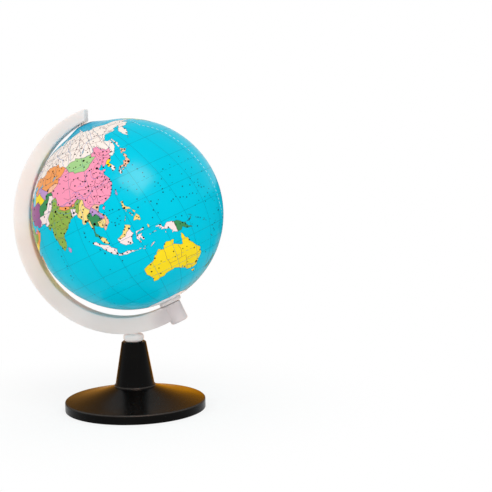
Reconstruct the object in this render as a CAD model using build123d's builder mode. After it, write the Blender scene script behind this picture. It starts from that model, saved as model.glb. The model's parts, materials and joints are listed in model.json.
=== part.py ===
# A small school globe: a hollow printed ball that spins in a tilted C-shaped arm,
# which swivels on a black dome-shaped stand. Millimetres, +Z up, origin on the
# table at the centre of the stand; the arm lies in the XZ plane, north pole to -X.
import os
from math import cos, radians, sin, sqrt

from build123d import *

os.makedirs("parts", exist_ok=True)

# Ball
ball_diameter = 106.0
ball_wall = 1.2
axis_tilt = 25.0
ball_left = 1.2
polar_boss_diameter = 26.0
polar_boss_top_diameter = 9.4
polar_boss_height = 1.7
ring_height = 8.0
ring_thickness = 1.4

# Arm, a C between two leaning ovals, so that it stands furthest off the ball at its lower left
arm_lean = 80.0
arm_inner_over = (3.8, -0.85)
arm_outer_over = (11.5, 7.85)
arm_inner_shift = (-3.35, -0.9)
arm_outer_shift = (-4.0, -2.55)
arm_width = 8.0
arm_overrun = 1.8
arm_corner_radius = 0.8
arm_edge_radius = 0.7
arm_root_depth = 2.6

# Pivots at the two poles
north_pin_diameter = 3.6
north_pin_reach = 6.5
plug_diameter = 4.0
plug_reach = 5.5
plug_head_diameter = 6.4
plug_head_thickness = 1.6
bush_diameter = 7.0
bush_length = 6.5
bush_rim = 0.6
bush_rim_thickness = 1.0
south_flange_diameter = 12.6
south_flange_thickness = 2.0
south_flange_edge_radius = 0.5
boss_diameter = 10.0
boss_proud = 2.8
boss_end_radius = 1.3

# Collar and foot peg, moulded with the arm
collar_diameter = 11.6
collar_height = 4.8
collar_seat_diameter = 9.4
neck_diameter = 7.0
peg_diameter = 7.0
peg_chamfer = 0.5
screw_depth = 9.0

# Stand, one hollow moulding
base_diameter = 78.8
rim_height = 5.0
rim_edge_radius = 0.8
dome_rise = 7.5
dome_crown = 0.7
stem_foot_diameter = 22.0
stem_top_diameter = 13.6
stem_height = 25.5
foot_ring_proud = 0.6
foot_ring_height = 1.0
foot_ring_edge_radius = 0.35
foot_ring_fillet = 0.6
stem_top_bevel = 0.5
stand_wall = 2.0
socket_depth = 15.0
rib_count = 6
rib_thickness = 1.4
rib_lift = 1.2

# Screw and washer under the stem's inner shoulder
screw_diameter = 3.4
screw_head_diameter = 6.6
screw_head_height = 2.4
screw_head_edge_radius = 0.8
screw_recess_length = 3.6
screw_recess_width = 0.9
screw_recess_depth = 1.3
washer_diameter = 10.0
washer_thickness = 1.0

# Clearances
running_clearance = 0.06
seat_clearance = 0.03
end_play = 0.15
pole_play = 0.4

# Sizes that follow from the ones above
ball_radius = ball_diameter / 2
ball_inner_radius = ball_radius - ball_wall
arm_inner_oval = [ball_radius + over for over in arm_inner_over]
arm_outer_oval = [ball_radius + over for over in arm_outer_over]
base_radius = base_diameter / 2
dome_top = rim_height + dome_rise
stem_top = dome_top + stem_height
arm_bottom = stem_top + collar_height


def arm_face_distance(oval, shift, start, direction):
    """Distance to one of the arm's oval faces from a start beside the ball's centre, along a direction."""
    long, short = oval
    lean = radians(arm_lean)
    right, rise = shift[0] - start[0], shift[1] - start[1]
    centre_along = right * cos(lean) + rise * sin(lean)
    centre_across = rise * cos(lean) - right * sin(lean)
    along = direction[0] * cos(lean) + direction[1] * sin(lean)
    across = direction[1] * cos(lean) - direction[0] * sin(lean)
    square = (along / long) ** 2 + (across / short) ** 2
    half = along * centre_along / long**2 + across * centre_across / short**2
    rest = (centre_along / long) ** 2 + (centre_across / short) ** 2 - 1
    return (half + sqrt(half**2 - square * rest)) / square


ball_height = arm_bottom + arm_face_distance(arm_outer_oval, arm_outer_shift, (ball_left, 0), (0, -1))
ball_centre = Vector(-ball_left, 0, ball_height)

# The polar axis, and the planes that the ball and its pivots are drawn on
tilt = radians(axis_tilt)
north = Vector(-sin(tilt), 0, cos(tilt))
polar_axis = Axis(ball_centre, north)
ball_section = Plane(origin=ball_centre, x_dir=(cos(tilt), 0, sin(tilt)), z_dir=(0, -1, 0))
north_plane = Plane(origin=ball_centre, x_dir=(0, 1, 0), z_dir=north)
south_plane = Plane(origin=ball_centre, x_dir=(0, 1, 0), z_dir=-north)

north_face = arm_face_distance(arm_inner_oval, arm_inner_shift, (0, 0), (north.X, north.Z))
south_face = arm_face_distance(arm_outer_oval, arm_outer_shift, (0, 0), (-north.X, -north.Z))

# North half of the ball: a formed shell that swells into a low boss at the pole
boss_foot = polar_boss_diameter / 2
boss_foot_inside = boss_foot - ball_wall / 2
boss_top = polar_boss_top_diameter / 2
boss_level = ball_radius + polar_boss_height
bush_hole = bush_diameter / 2 + seat_clearance
with BuildPart() as globe_north_hemisphere:
    with BuildSketch(ball_section):
        with BuildLine():
            outer_foot = (boss_foot, sqrt(ball_radius**2 - boss_foot**2))
            inner_foot = (boss_foot_inside, sqrt(ball_inner_radius**2 - boss_foot_inside**2))
            Line((ball_inner_radius, 0), (ball_radius, 0))
            RadiusArc((ball_radius, 0), outer_foot, -ball_radius)
            Polyline(
                outer_foot,
                (boss_top, boss_level),
                (bush_hole, boss_level),
                (bush_hole, boss_level - ball_wall),
                (boss_top, boss_level - ball_wall),
                inner_foot,
            )
            RadiusArc(inner_foot, (ball_inner_radius, 0), ball_inner_radius)
        make_face()
    revolve(axis=polar_axis)

# South half of the ball: its pole is flattened where the bush's flange sits
flange_seat = sqrt(ball_radius**2 - (south_flange_diameter / 2) ** 2)
with BuildPart() as globe_south_hemisphere:
    with BuildSketch(ball_section):
        with BuildLine():
            seat_edge = (south_flange_diameter / 2, -flange_seat)
            hole_inside = (bush_hole, -sqrt(ball_inner_radius**2 - bush_hole**2))
            RadiusArc((ball_radius, 0), seat_edge, ball_radius)
            Polyline(seat_edge, (bush_hole, -flange_seat), hole_inside)
            RadiusArc(hole_inside, (ball_inner_radius, 0), -ball_inner_radius)
            Line((ball_inner_radius, 0), (ball_radius, 0))
        make_face()
    revolve(axis=polar_axis)

# Band inside the ball that both halves are cemented to
ring_outer = sqrt(ball_inner_radius**2 - (ring_height / 2) ** 2) - seat_clearance
with BuildPart() as equator_joining_ring:
    with BuildSketch(north_plane.offset(-ring_height / 2)):
        Circle(ring_outer)
        Circle(ring_outer - ring_thickness, mode=Mode.SUBTRACT)
    extrude(amount=ring_height)

# North bush: a sleeve flush with the polar boss, with a rim inside the shell
with BuildPart() as north_pole_bush:
    with BuildSketch(ball_section):
        bush_bore = north_pin_diameter / 2 + running_clearance
        bush_low = boss_level - bush_length
        rim_top = boss_level - ball_wall
        with BuildLine():
            Polyline(
                (bush_bore, bush_low),
                (bush_diameter / 2, bush_low),
                (bush_diameter / 2, rim_top - bush_rim_thickness),
                (bush_diameter / 2 + bush_rim, rim_top - bush_rim_thickness),
                (bush_diameter / 2 + bush_rim, rim_top),
                (bush_diameter / 2, rim_top),
                (bush_diameter / 2, boss_level),
                (bush_bore, boss_level),
                close=True,
            )
        make_face()
    revolve(axis=polar_axis)

# South bush: the same sleeve with a wide flange outside, on the flattened pole
with BuildPart() as south_pole_bush:
    with BuildSketch(south_plane.offset(flange_seat)):
        Circle(south_flange_diameter / 2)
    extrude(amount=south_flange_thickness)
    flange_rim = south_pole_bush.edges().filter_by(GeomType.CIRCLE).sort_by(polar_axis)[0]
    fillet(flange_rim, south_flange_edge_radius)
    with BuildSketch(south_plane.offset(flange_seat)):
        Circle(bush_diameter / 2)
    extrude(amount=-bush_length)
    with BuildSketch(south_plane.offset(flange_seat + south_flange_thickness)):
        Circle(plug_diameter / 2 + running_clearance)
    extrude(amount=-(south_flange_thickness + bush_length), mode=Mode.SUBTRACT)

# Arm: a ring between two ovals, cut away on its open side from the pin's end to the south pole
reach = 2 * arm_outer_oval[0]
arm_end = ball_centre + north * north_face + Vector(arm_overrun, 0, 0)
south_far = ball_centre - north * reach
boss_start = flange_seat + south_flange_thickness + pole_play
boss_end = south_face + boss_proud
with BuildPart() as meridian_arm:
    with BuildSketch(Plane.XZ) as arm_outline:
        with Locations((ball_centre.X + arm_outer_shift[0], ball_centre.Z + arm_outer_shift[1])):
            Ellipse(*arm_outer_oval, rotation=arm_lean)
        with Locations((ball_centre.X + arm_inner_shift[0], ball_centre.Z + arm_inner_shift[1])):
            Ellipse(*arm_inner_oval, rotation=arm_lean, mode=Mode.SUBTRACT)
        with BuildLine():
            Polyline(
                (south_far.X, south_far.Z),
                (ball_centre.X, ball_centre.Z),
                (arm_end.X, ball_centre.Z),
                (arm_end.X, ball_centre.Z + reach),
                (ball_centre.X + reach, ball_centre.Z + reach),
                (ball_centre.X + reach, south_far.Z),
                close=True,
            )
        make_face(mode=Mode.SUBTRACT)
        fillet(arm_outline.vertices(), arm_corner_radius)
    extrude(amount=arm_width / 2, both=True)
    fillet(meridian_arm.faces().filter_by(Axis.Y).edges(), arm_edge_radius)

    # Tubular boss at the south pole, rounded outside
    with BuildSketch(south_plane.offset(boss_start)):
        Circle(boss_diameter / 2)
    extrude(amount=boss_end - boss_start)
    boss_rim = meridian_arm.faces().sort_by(polar_axis)[0].edges()
    fillet(boss_rim, boss_end_radius)

    # Shallow seat in the arm's inner face that clears the bush's flange
    with BuildSketch(south_plane.offset(flange_seat)):
        Circle(south_flange_diameter / 2 + pole_play)
    extrude(amount=boss_start - flange_seat, mode=Mode.SUBTRACT)

    # Pin at the north pole
    with BuildSketch(north_plane.offset(boss_level - north_pin_reach)):
        Circle(north_pin_diameter / 2)
    extrude(amount=north_face + arm_root_depth - boss_level + north_pin_reach)

    # Collar like a flattened bead, and the round peg under it
    with BuildSketch(Plane.XZ):
        seat = stem_top + end_play
        peg_end = stem_top - socket_depth - end_play
        with BuildLine():
            Polyline((collar_seat_diameter / 2, seat), (peg_diameter / 2, seat), (peg_diameter / 2, peg_end))
            Polyline((peg_diameter / 2, peg_end), (0, peg_end), (0, arm_bottom + arm_root_depth))
            Line((0, arm_bottom + arm_root_depth), (neck_diameter / 2, arm_bottom + arm_root_depth))
            Line((neck_diameter / 2, arm_bottom + arm_root_depth), (neck_diameter / 2, arm_bottom - end_play))
            ThreePointArc(
                (neck_diameter / 2, arm_bottom - end_play),
                (collar_diameter / 2, (seat + arm_bottom) / 2),
                (collar_seat_diameter / 2, seat),
            )
        make_face()
    revolve(axis=Axis.Z)
    peg_rim = meridian_arm.faces().sort_by(Axis.Z)[0].edges()
    chamfer(peg_rim, peg_chamfer)

    # Bores for the plug and for the screw
    with BuildSketch(south_plane.offset(boss_start)):
        Circle(plug_diameter / 2 + seat_clearance)
    extrude(amount=boss_end - boss_start, mode=Mode.SUBTRACT)
    with BuildSketch(south_plane.offset(boss_end)):
        Circle(plug_head_diameter / 2 + seat_clearance)
    extrude(amount=-plug_head_thickness, mode=Mode.SUBTRACT)
    with BuildSketch(Plane.XY.offset(peg_end)):
        Circle(screw_diameter / 2 + seat_clearance)
    extrude(amount=screw_depth, mode=Mode.SUBTRACT)

# Plug that locks the ball in: its head fills the boss's counterbore
with BuildPart() as south_pivot_plug:
    with BuildSketch(south_plane.offset(flange_seat - plug_reach)):
        Circle(plug_diameter / 2)
    extrude(amount=boss_end - flange_seat + plug_reach)
    with BuildSketch(south_plane.offset(boss_end)):
        Circle(plug_head_diameter / 2)
    extrude(amount=-plug_head_thickness)

# Stand: the dome and the stem are one shell, open below, with a socket for the peg
with BuildPart() as stand_base:
    with BuildSketch(Plane.XZ):
        shoulder = stem_top - socket_depth
        socket = peg_diameter / 2 + running_clearance
        stem_slope = (stem_foot_diameter - stem_top_diameter) / 2 / stem_height
        shoulder_radius = stem_top_diameter / 2 + stem_slope * socket_depth - stand_wall
        foot_radius = stem_foot_diameter / 2
        ring_radius = foot_radius + foot_ring_proud
        ring_top = dome_top + foot_ring_height
        inner_rim = (base_radius - stand_wall, rim_height - stand_wall)
        inner_throat = (foot_radius - stand_wall, dome_top - stand_wall)
        with BuildLine():
            Polyline(
                inner_rim,
                (base_radius - stand_wall, 0),
                (base_radius, 0),
                (base_radius, rim_height),
            )
            SagittaArc((base_radius, rim_height), (ring_radius, dome_top), dome_crown)
            Polyline(
                (ring_radius, dome_top),
                (ring_radius, ring_top),
                (foot_radius, ring_top),
                (stem_top_diameter / 2, stem_top),
                (socket, stem_top),
                (socket, shoulder),
                (shoulder_radius, shoulder),
                inner_throat,
            )
            SagittaArc(inner_throat, inner_rim, -dome_crown)
        make_face()
    revolve(axis=Axis.Z)
    round_edges = stand_base.edges().filter_by(GeomType.CIRCLE)
    rim_edge = round_edges.filter_by(lambda e: abs(e.radius - base_radius) < 0.01).sort_by(Axis.Z)[-1]
    fillet(rim_edge, rim_edge_radius)
    round_edges = stand_base.edges().filter_by(GeomType.CIRCLE)
    ring_edges = round_edges.filter_by(lambda e: abs(e.radius - ring_radius) < 0.01).sort_by(Axis.Z)
    fillet(ring_edges[-1], foot_ring_edge_radius)
    round_edges = stand_base.edges().filter_by(GeomType.CIRCLE)
    ring_edges = round_edges.filter_by(lambda e: abs(e.radius - ring_radius) < 0.01).sort_by(Axis.Z)
    fillet(ring_edges[0], foot_ring_fillet)
    round_edges = stand_base.edges().filter_by(GeomType.CIRCLE)
    mouth_edge = round_edges.filter_by(lambda e: abs(e.radius - stem_top_diameter / 2) < 0.01)
    chamfer(mouth_edge, stem_top_bevel)

    # Stiffening ribs under the dome, clear of the table
    rib_end = base_radius - stand_wall / 2
    for rib in range(rib_count):
        turn = radians(360 * rib / rib_count)
        rib_plane = Plane(origin=(0, 0, 0), x_dir=(cos(turn), sin(turn), 0), z_dir=(sin(turn), -cos(turn), 0))
        with BuildSketch(rib_plane):
            with BuildLine():
                Polyline(
                    (foot_radius, rib_lift),
                    (rib_end, rib_lift),
                    (rib_end, rim_height - stand_wall / 2),
                    (foot_radius, dome_top - stand_wall / 2),
                    close=True,
                )
            make_face()
        extrude(amount=rib_thickness / 2, both=True)

# Washer that the peg's screw pulls up under the socket
with BuildPart() as arm_washer:
    with BuildSketch(Plane.XY.offset(peg_end - washer_thickness)):
        Circle(washer_diameter / 2)
        Circle(screw_diameter / 2 + running_clearance, mode=Mode.SUBTRACT)
    extrude(amount=washer_thickness)

# Pan-headed screw, from below through the washer into the peg
with BuildPart() as arm_screw:
    head_top = peg_end - washer_thickness
    with BuildSketch(Plane.XY.offset(head_top)):
        Circle(screw_head_diameter / 2)
    extrude(amount=-screw_head_height)
    head_edge = arm_screw.edges().sort_by(Axis.Z)[0]
    fillet(head_edge, screw_head_edge_radius)
    with BuildSketch(Plane.XY.offset(head_top)):
        Circle(screw_diameter / 2)
    extrude(amount=washer_thickness + screw_depth - peg_chamfer)
    with BuildSketch(Plane.XY.offset(head_top - screw_head_height)):
        Rectangle(screw_recess_length, screw_recess_width)
        Rectangle(screw_recess_width, screw_recess_length)
    extrude(amount=screw_recess_depth, mode=Mode.SUBTRACT)

pieces = {
    "globe_north_hemisphere": globe_north_hemisphere,
    "globe_south_hemisphere": globe_south_hemisphere,
    "equator_joining_ring": equator_joining_ring,
    "north_pole_bush": north_pole_bush,
    "south_pole_bush": south_pole_bush,
    "meridian_arm": meridian_arm,
    "south_pivot_plug": south_pivot_plug,
    "stand_base": stand_base,
    "arm_washer": arm_washer,
    "arm_screw": arm_screw,
}
for name, piece in pieces.items():
    piece.part.label = name
    export_step(piece.part, f"parts/{name}.step")
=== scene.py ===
import json
import math
import random
from itertools import groupby

import bpy
import numpy as np
from mathutils import Matrix, Vector
from mathutils.geometry import delaunay_2d_cdt


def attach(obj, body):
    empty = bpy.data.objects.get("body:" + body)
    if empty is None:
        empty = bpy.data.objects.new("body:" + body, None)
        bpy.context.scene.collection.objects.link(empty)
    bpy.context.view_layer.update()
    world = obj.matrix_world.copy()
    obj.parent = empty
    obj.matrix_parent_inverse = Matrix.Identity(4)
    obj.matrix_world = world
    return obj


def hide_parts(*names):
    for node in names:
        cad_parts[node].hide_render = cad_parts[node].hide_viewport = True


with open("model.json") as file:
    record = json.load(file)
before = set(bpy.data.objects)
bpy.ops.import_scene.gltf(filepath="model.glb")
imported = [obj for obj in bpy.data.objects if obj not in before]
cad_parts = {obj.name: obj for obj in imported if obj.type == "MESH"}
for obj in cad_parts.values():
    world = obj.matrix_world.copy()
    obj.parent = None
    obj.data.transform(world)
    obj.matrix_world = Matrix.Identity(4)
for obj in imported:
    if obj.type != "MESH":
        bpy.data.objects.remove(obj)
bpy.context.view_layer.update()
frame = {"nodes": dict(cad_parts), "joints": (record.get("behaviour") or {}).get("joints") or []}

# Stand: the round foot and its flared stem are one gloss black moulding, hollow underneath.
# The mould was polished, so the skin is close to a mirror with a faint flow cloud in it.
# The edge of the foot and the edge at the stem's own foot are duller, and a painted highlight makes them
# paler.

def feed(tree, node, values):
    """Gives inputs of a node, by name or number, a plain value or the output of another node."""
    for label, value in values.items():
        if isinstance(value, bpy.types.NodeSocket):
            tree.links.new(value, node.inputs[label])
        else:
            node.inputs[label].default_value = value


def add_node(tree, kind, values=None, **settings):
    node = tree.nodes.new(kind)
    for key, value in settings.items():
        setattr(node, key, value)
    feed(tree, node, values or {})
    return node


def reckon(tree, operation, *values):
    """The answer of one sum on numbers."""
    return add_node(tree, "ShaderNodeMath", dict(enumerate(values)), operation=operation).outputs["Value"]


def reckon_places(tree, operation, *values):
    """The answer of one sum on places: a length, or another place."""
    node = add_node(tree, "ShaderNodeVectorMath", dict(enumerate(values)), operation=operation)
    return node.outputs["Value" if operation in ("LENGTH", "DISTANCE") else "Vector"]


def ranged(tree, value, start, end, low=0.0, high=1.0, curve="LINEAR"):
    """Takes a value between two limits to one between two others."""
    limits = {"From Min": start, "From Max": end, "To Min": low, "To Max": high}
    node = add_node(tree, "ShaderNodeMapRange", {"Value": value, **limits}, interpolation_type=curve)
    return node.outputs["Result"]


def place_on_piece(tree):
    return add_node(tree, "ShaderNodeTexCoord").outputs["Object"]


def cloudy(tree, place, scale, detail):
    values = {"Vector": place, "Scale": scale, "Detail": detail}
    return add_node(tree, "ShaderNodeTexNoise", values).outputs["Fac"]


def add_sockets(tree, side, sockets):
    for label, kind in sockets:
        tree.interface.new_socket(label, in_out=side, socket_type="NodeSocket" + kind)


def skin_group(name, inputs):
    """A new group for the skin of a piece, which puts out its colour, roughness and height."""
    group = bpy.data.node_groups.new(name, "ShaderNodeTree")
    add_sockets(group, "INPUT", inputs)
    add_sockets(group, "OUTPUT", [("Color", "Color"), ("Roughness", "Float"), ("Height", "Float")])
    return group, add_node(group, "NodeGroupInput").outputs, add_node(group, "NodeGroupOutput")


def moulded_skin_group():
    """Moulded plastic: a slow flow cloud in colour and gloss, and a fine skin from the mould."""
    group, given, result = skin_group("moulded_skin", [
        ("Tone", "Color"), ("Cloud Tone", "Color"), ("Gloss", "Float"), ("Gloss Spread", "Float"),
        ("Cloud Scale", "Float"), ("Skin Scale", "Float")])
    place = place_on_piece(group)
    cloud = ranged(group, cloudy(group, place, given["Cloud Scale"], detail=3), 0.35, 0.65)
    tones = {"Factor": cloud, "A": given["Tone"], "B": given["Cloud Tone"]}
    feed(group, result, {
        "Color": add_node(group, "ShaderNodeMix", tones, data_type="RGBA").outputs["Result"],
        "Roughness": reckon(group, "MULTIPLY_ADD", cloud, given["Gloss Spread"], given["Gloss"]),
        "Height": cloudy(group, place, given["Skin Scale"], detail=2)})
    return group


moulded_skin = moulded_skin_group()


def light_of(tone):
    """A tone named in display values, 0 to 255, as the light that it stands for."""
    shares = [value / 255 for value in tone]
    return (*(((share + 0.055) / 1.055) ** 2.4 if share > 0.04 else share / 12.92 for share in shares), 1)


def new_finish(name):
    finish = bpy.data.materials.new(name)
    finish.use_nodes = True
    return finish, finish.node_tree


def set_surface(tree, colour, roughness, height, relief, depth, constants):
    """Wires a colour, a roughness and a height to the surface, beside its constants."""
    bump = add_node(tree, "ShaderNodeBump", {"Strength": relief, "Distance": depth, "Height": height})
    feed(tree, tree.nodes["Principled BSDF"], {
        "Base Color": colour, "Roughness": roughness, "Normal": bump.outputs["Normal"], **constants})


def moulded_plastic(name, tone, cloud_tone, gloss, gloss_spread, cloud_scale, skin_scale, skin_depth,
                    specular, milky=0.0):
    material, tree = new_finish(name)
    skin = add_node(tree, "ShaderNodeGroup", {
        "Tone": light_of(tone), "Cloud Tone": light_of(cloud_tone), "Gloss": gloss,
        "Gloss Spread": gloss_spread, "Cloud Scale": cloud_scale, "Skin Scale": skin_scale,
    }, node_tree=moulded_skin).outputs
    set_surface(tree, skin["Color"], skin["Roughness"], skin["Height"], relief=0.5, depth=skin_depth,
                constants={"Specular IOR Level": specular, "Subsurface Weight": milky,
                           "Subsurface Radius": (1, 0.9, 0.85), "Subsurface Scale": 0.003})
    return material


def dress(material, *nodes):
    for node in nodes:
        slots = frame["nodes"][node].data.materials
        if not slots:
            slots.append(material)
        for slot in range(len(slots)):
            slots[slot] = material


def blend_in(tree, mask, label, kind, value):
    """Takes one value of the surface over to another where the mask says."""
    socket = tree.nodes["Principled BSDF"].inputs[label]
    values = {"Factor": mask, "A": socket.links[0].from_socket, "B": value}
    tree.links.new(add_node(tree, "ShaderNodeMix", values, data_type=kind).outputs["Result"], socket)


def paint_edge_highlights(material, tone, dullness, width, edges):
    """Paints a highlight along two edges of a round part and makes them duller; each is a circle, by radius
    and height.
    """
    tree = material.node_tree
    place = place_on_piece(tree)
    radius = reckon_places(tree, "LENGTH", reckon_places(tree, "MULTIPLY", place, (1, 1, 0)))
    height = add_node(tree, "ShaderNodeSeparateXYZ", {"Vector": place}).outputs["Z"]
    section = add_node(tree, "ShaderNodeCombineXYZ", {"X": radius, "Y": height}).outputs["Vector"]
    gaps = [reckon_places(tree, "DISTANCE", section, (*edge, 0)) for edge in edges]
    edge_highlight = ranged(tree, reckon(tree, "MINIMUM", *gaps), 0, width, low=1, high=0, curve="SMOOTHSTEP")
    # The paler tone is a painted highlight along the edges; the duller roughness is the plastic's own.
    blend_in(tree, edge_highlight, "Base Color", "RGBA", light_of(tone))
    blend_in(tree, edge_highlight, "Roughness", "FLOAT", dullness)


foot_edge, stem_edge = (0.0392, 0.00488), (0.0115, 0.0134)
gloss_black = moulded_plastic(
    "gloss_black", tone=(8, 7, 7), cloud_tone=(12, 11, 10), gloss=0.2, gloss_spread=0.08,
    cloud_scale=55, skin_scale=900, skin_depth=0.00002, specular=0.05)
# The paler line round both edges of the stand is a painted highlight.
paint_edge_highlights(gloss_black, tone=(60, 56, 54), dullness=0.42, width=0.0008, edges=(foot_edge, stem_edge))
dress(gloss_black, "stand_base")

# Arm fixing: a turned steel washer and screw hold the arm's peg up inside the stem, so the arm
# swivels but can't lift out. Both are bright zinc-plated steel with lathe rings.

def tone_ramp(tree, mask, low_tone, high_tone):
    ramp = add_node(tree, "ShaderNodeValToRGB", {"Fac": mask})
    for stop, tone in zip(ramp.color_ramp.elements, (low_tone, high_tone)):
        stop.color = light_of(tone)
    return ramp.outputs["Color"]


def turned_steel(name):
    material, tree = new_finish(name)
    place = place_on_piece(tree)
    rings = add_node(tree, "ShaderNodeTexWave", {"Vector": place, "Scale": 1400, "Distortion": 1.5},
                     wave_type="RINGS", rings_direction="Z").outputs["Fac"]
    plating = tone_ramp(tree, cloudy(tree, place, 700, detail=2), (158, 158, 162), (205, 205, 206))
    gloss = ranged(tree, rings, 0, 1, low=0.25, high=0.42)
    set_surface(tree, plating, gloss, rings, relief=0.4, depth=0.00002, constants={"Metallic": 1})
    return material


dress(turned_steel("zinc_plate"), "arm_washer", "arm_screw")

# Meridian arm: one white moulding, a tapered C with a pivot boss at the south end, a pin at the
# north end and a bead collar over the peg. The south pivot plug is pressed into its boss, and the
# bush that it runs in has its white flange on the ball's south pole.

def paint_boss_shade(material, tone, middle, full, gone):
    """Paints shade into the plastic round one end: a greyer white that stands in for the shadow there."""
    tree = material.node_tree
    gap = reckon_places(tree, "DISTANCE", place_on_piece(tree), middle)
    boss_shade = ranged(tree, gap, full, gone, low=1, high=0, curve="SMOOTHSTEP")
    blend_in(tree, boss_shade, "Base Color", "RGBA", light_of(tone))


gloss_white = moulded_plastic(
    "gloss_white", tone=(244, 235, 232), cloud_tone=(239, 229, 225), gloss=0.26, gloss_spread=0.08,
    cloud_scale=40, skin_scale=1100, skin_depth=0.00002, specular=0.1, milky=0.6)
# The greyer tone round the south boss and where the arm meets it is painted shade.
paint_boss_shade(gloss_white, tone=(216, 206, 206), middle=(0.0250, 0, 0.0505), full=0.0075, gone=0.017)
dress(gloss_white, "meridian_arm", "south_pivot_plug", "south_pole_bush")

# Inside the ball: the ring that joins the two half shells at the equator, and the bush that runs on
# the arm's north pin. They are natural, unpolished mouldings, cemented to the shells.

natural_plastic = moulded_plastic(
    "natural_plastic", tone=(226, 222, 210), cloud_tone=(214, 209, 195), gloss=0.45, gloss_spread=0.12,
    cloud_scale=60, skin_scale=1500, skin_depth=0.00004, specular=0.5, milky=0.6)
dress(natural_plastic, "equator_joining_ring", "north_pole_bush")

# Half shells: two thin white mouldings with a raised boss round the north pivot and a flat seat
# at the south one. The world map is printed on them in flat inks under a gloss varnish.

ball_spin = next(joint for joint in frame["joints"] if joint["name"] == "globe_spin")
ball_centre = np.array(ball_spin["pos_m"])
to_north = np.array(ball_spin["axis"]) / np.linalg.norm(ball_spin["axis"])
to_quarter = np.array((0, 1, 0))
to_zero = np.cross(to_quarter, to_north)
skin_radius, shell_wall = 0.05296, 0.0012

# The boss's rims, each by its distance from the axis and its height over the ball's centre. The boss
# and the seat begin at an angle from the north pole, in radians.
boss_foot, boss_top = (0.0130, 0.05138), (0.0047, 0.0547)
boss_reach, boss_foot_round, boss_top_round = 0.38, 0.00025, 0.00012
seat_height, seat_start, seat_round = 0.0526, 2.8, 0.00004
north_hole, south_hole = 86.31, -86.17

# The film, in degrees: its two cut edges, how it is turned on the ball and where it is drawn out.
cut_west, cut_east = -169.0, 191.0
film_middle, film_turn = 112.0, 195.5
film_drop, north_draw, north_fan = 12.65, 1.48, 20.7
west_stretch, east_stretch = 12.6, -6.9


def on_ball(lon, lat):
    """Where the printer's film lands on the ball: it sits low, and is drawn out to the west and far north."""
    lon, lat = np.asarray(lon, float), np.asarray(lat, float)
    a, o = np.radians(lat), np.radians(lon - film_middle)
    ball_lat = lat - film_drop * np.cos(a) + north_draw * np.sin(2 * a)
    fanned = north_fan * np.sin(a) * np.sin(o) * (1 + np.cos(o)) / 2
    stretched = np.where(np.sin(o) < 0, west_stretch, east_stretch) * np.sin(o) ** 2 * np.cos(a)
    return np.radians(lon - film_turn - fanned - stretched), np.radians(ball_lat)


def rounded_most(a, b, blend):
    return np.maximum(a, b) + np.maximum(blend - abs(a - b), 0) ** 2 / (4 * blend)


def shell_radius(ball_lat):
    """Distance of the outer skin from the ball's centre: sphere, coned north boss and flat south seat."""
    from_north = math.pi / 2 - ball_lat
    near_north, near_south = from_north < boss_reach, from_north > seat_start
    slope = (boss_top[1] - boss_foot[1]) / (boss_top[0] - boss_foot[0])
    c = np.where(near_north, from_north, boss_reach)
    cone = (boss_foot[1] - slope * boss_foot[0]) / (np.cos(c) - slope * np.sin(c))
    boss = -rounded_most(-cone, -boss_top[1] / np.cos(c), boss_top_round)
    radius = np.where(near_north, rounded_most(boss, skin_radius, boss_foot_round), skin_radius)
    seat = seat_height / np.cos(np.where(near_south, math.pi - from_north, 0))
    return np.where(near_south, -rounded_most(-seat, -radius, seat_round), radius)


def directions(lon, lat):
    ball_lon, ball_lat = on_ball(lon, lat)
    out = (np.cos(ball_lat) * np.cos(ball_lon))[..., None] * to_zero
    out = out + (np.cos(ball_lat) * np.sin(ball_lon))[..., None] * to_quarter
    return out + np.sin(ball_lat)[..., None] * to_north, ball_lat


def skin_points(lon, lat, lift=0.0):
    out, ball_lat = directions(lon, lat)
    return ball_centre + (shell_radius(ball_lat) + lift)[..., None] * out


def skin_normals(lon, lat):
    out, ball_lat = directions(lon, lat)
    step = 1e-4
    rise = (shell_radius(ball_lat + step) - shell_radius(ball_lat - step)) / (2 * step)
    northward = (to_north - np.sin(ball_lat)[..., None] * out) / np.cos(ball_lat)[..., None]
    normal = shell_radius(ball_lat)[..., None] * out - rise[..., None] * northward
    return normal / np.linalg.norm(normal, axis=-1, keepdims=True)


def pairs(text):
    values = [float(value) for value in text.split()]
    return list(zip(values[0::2], values[1::2]))


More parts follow.
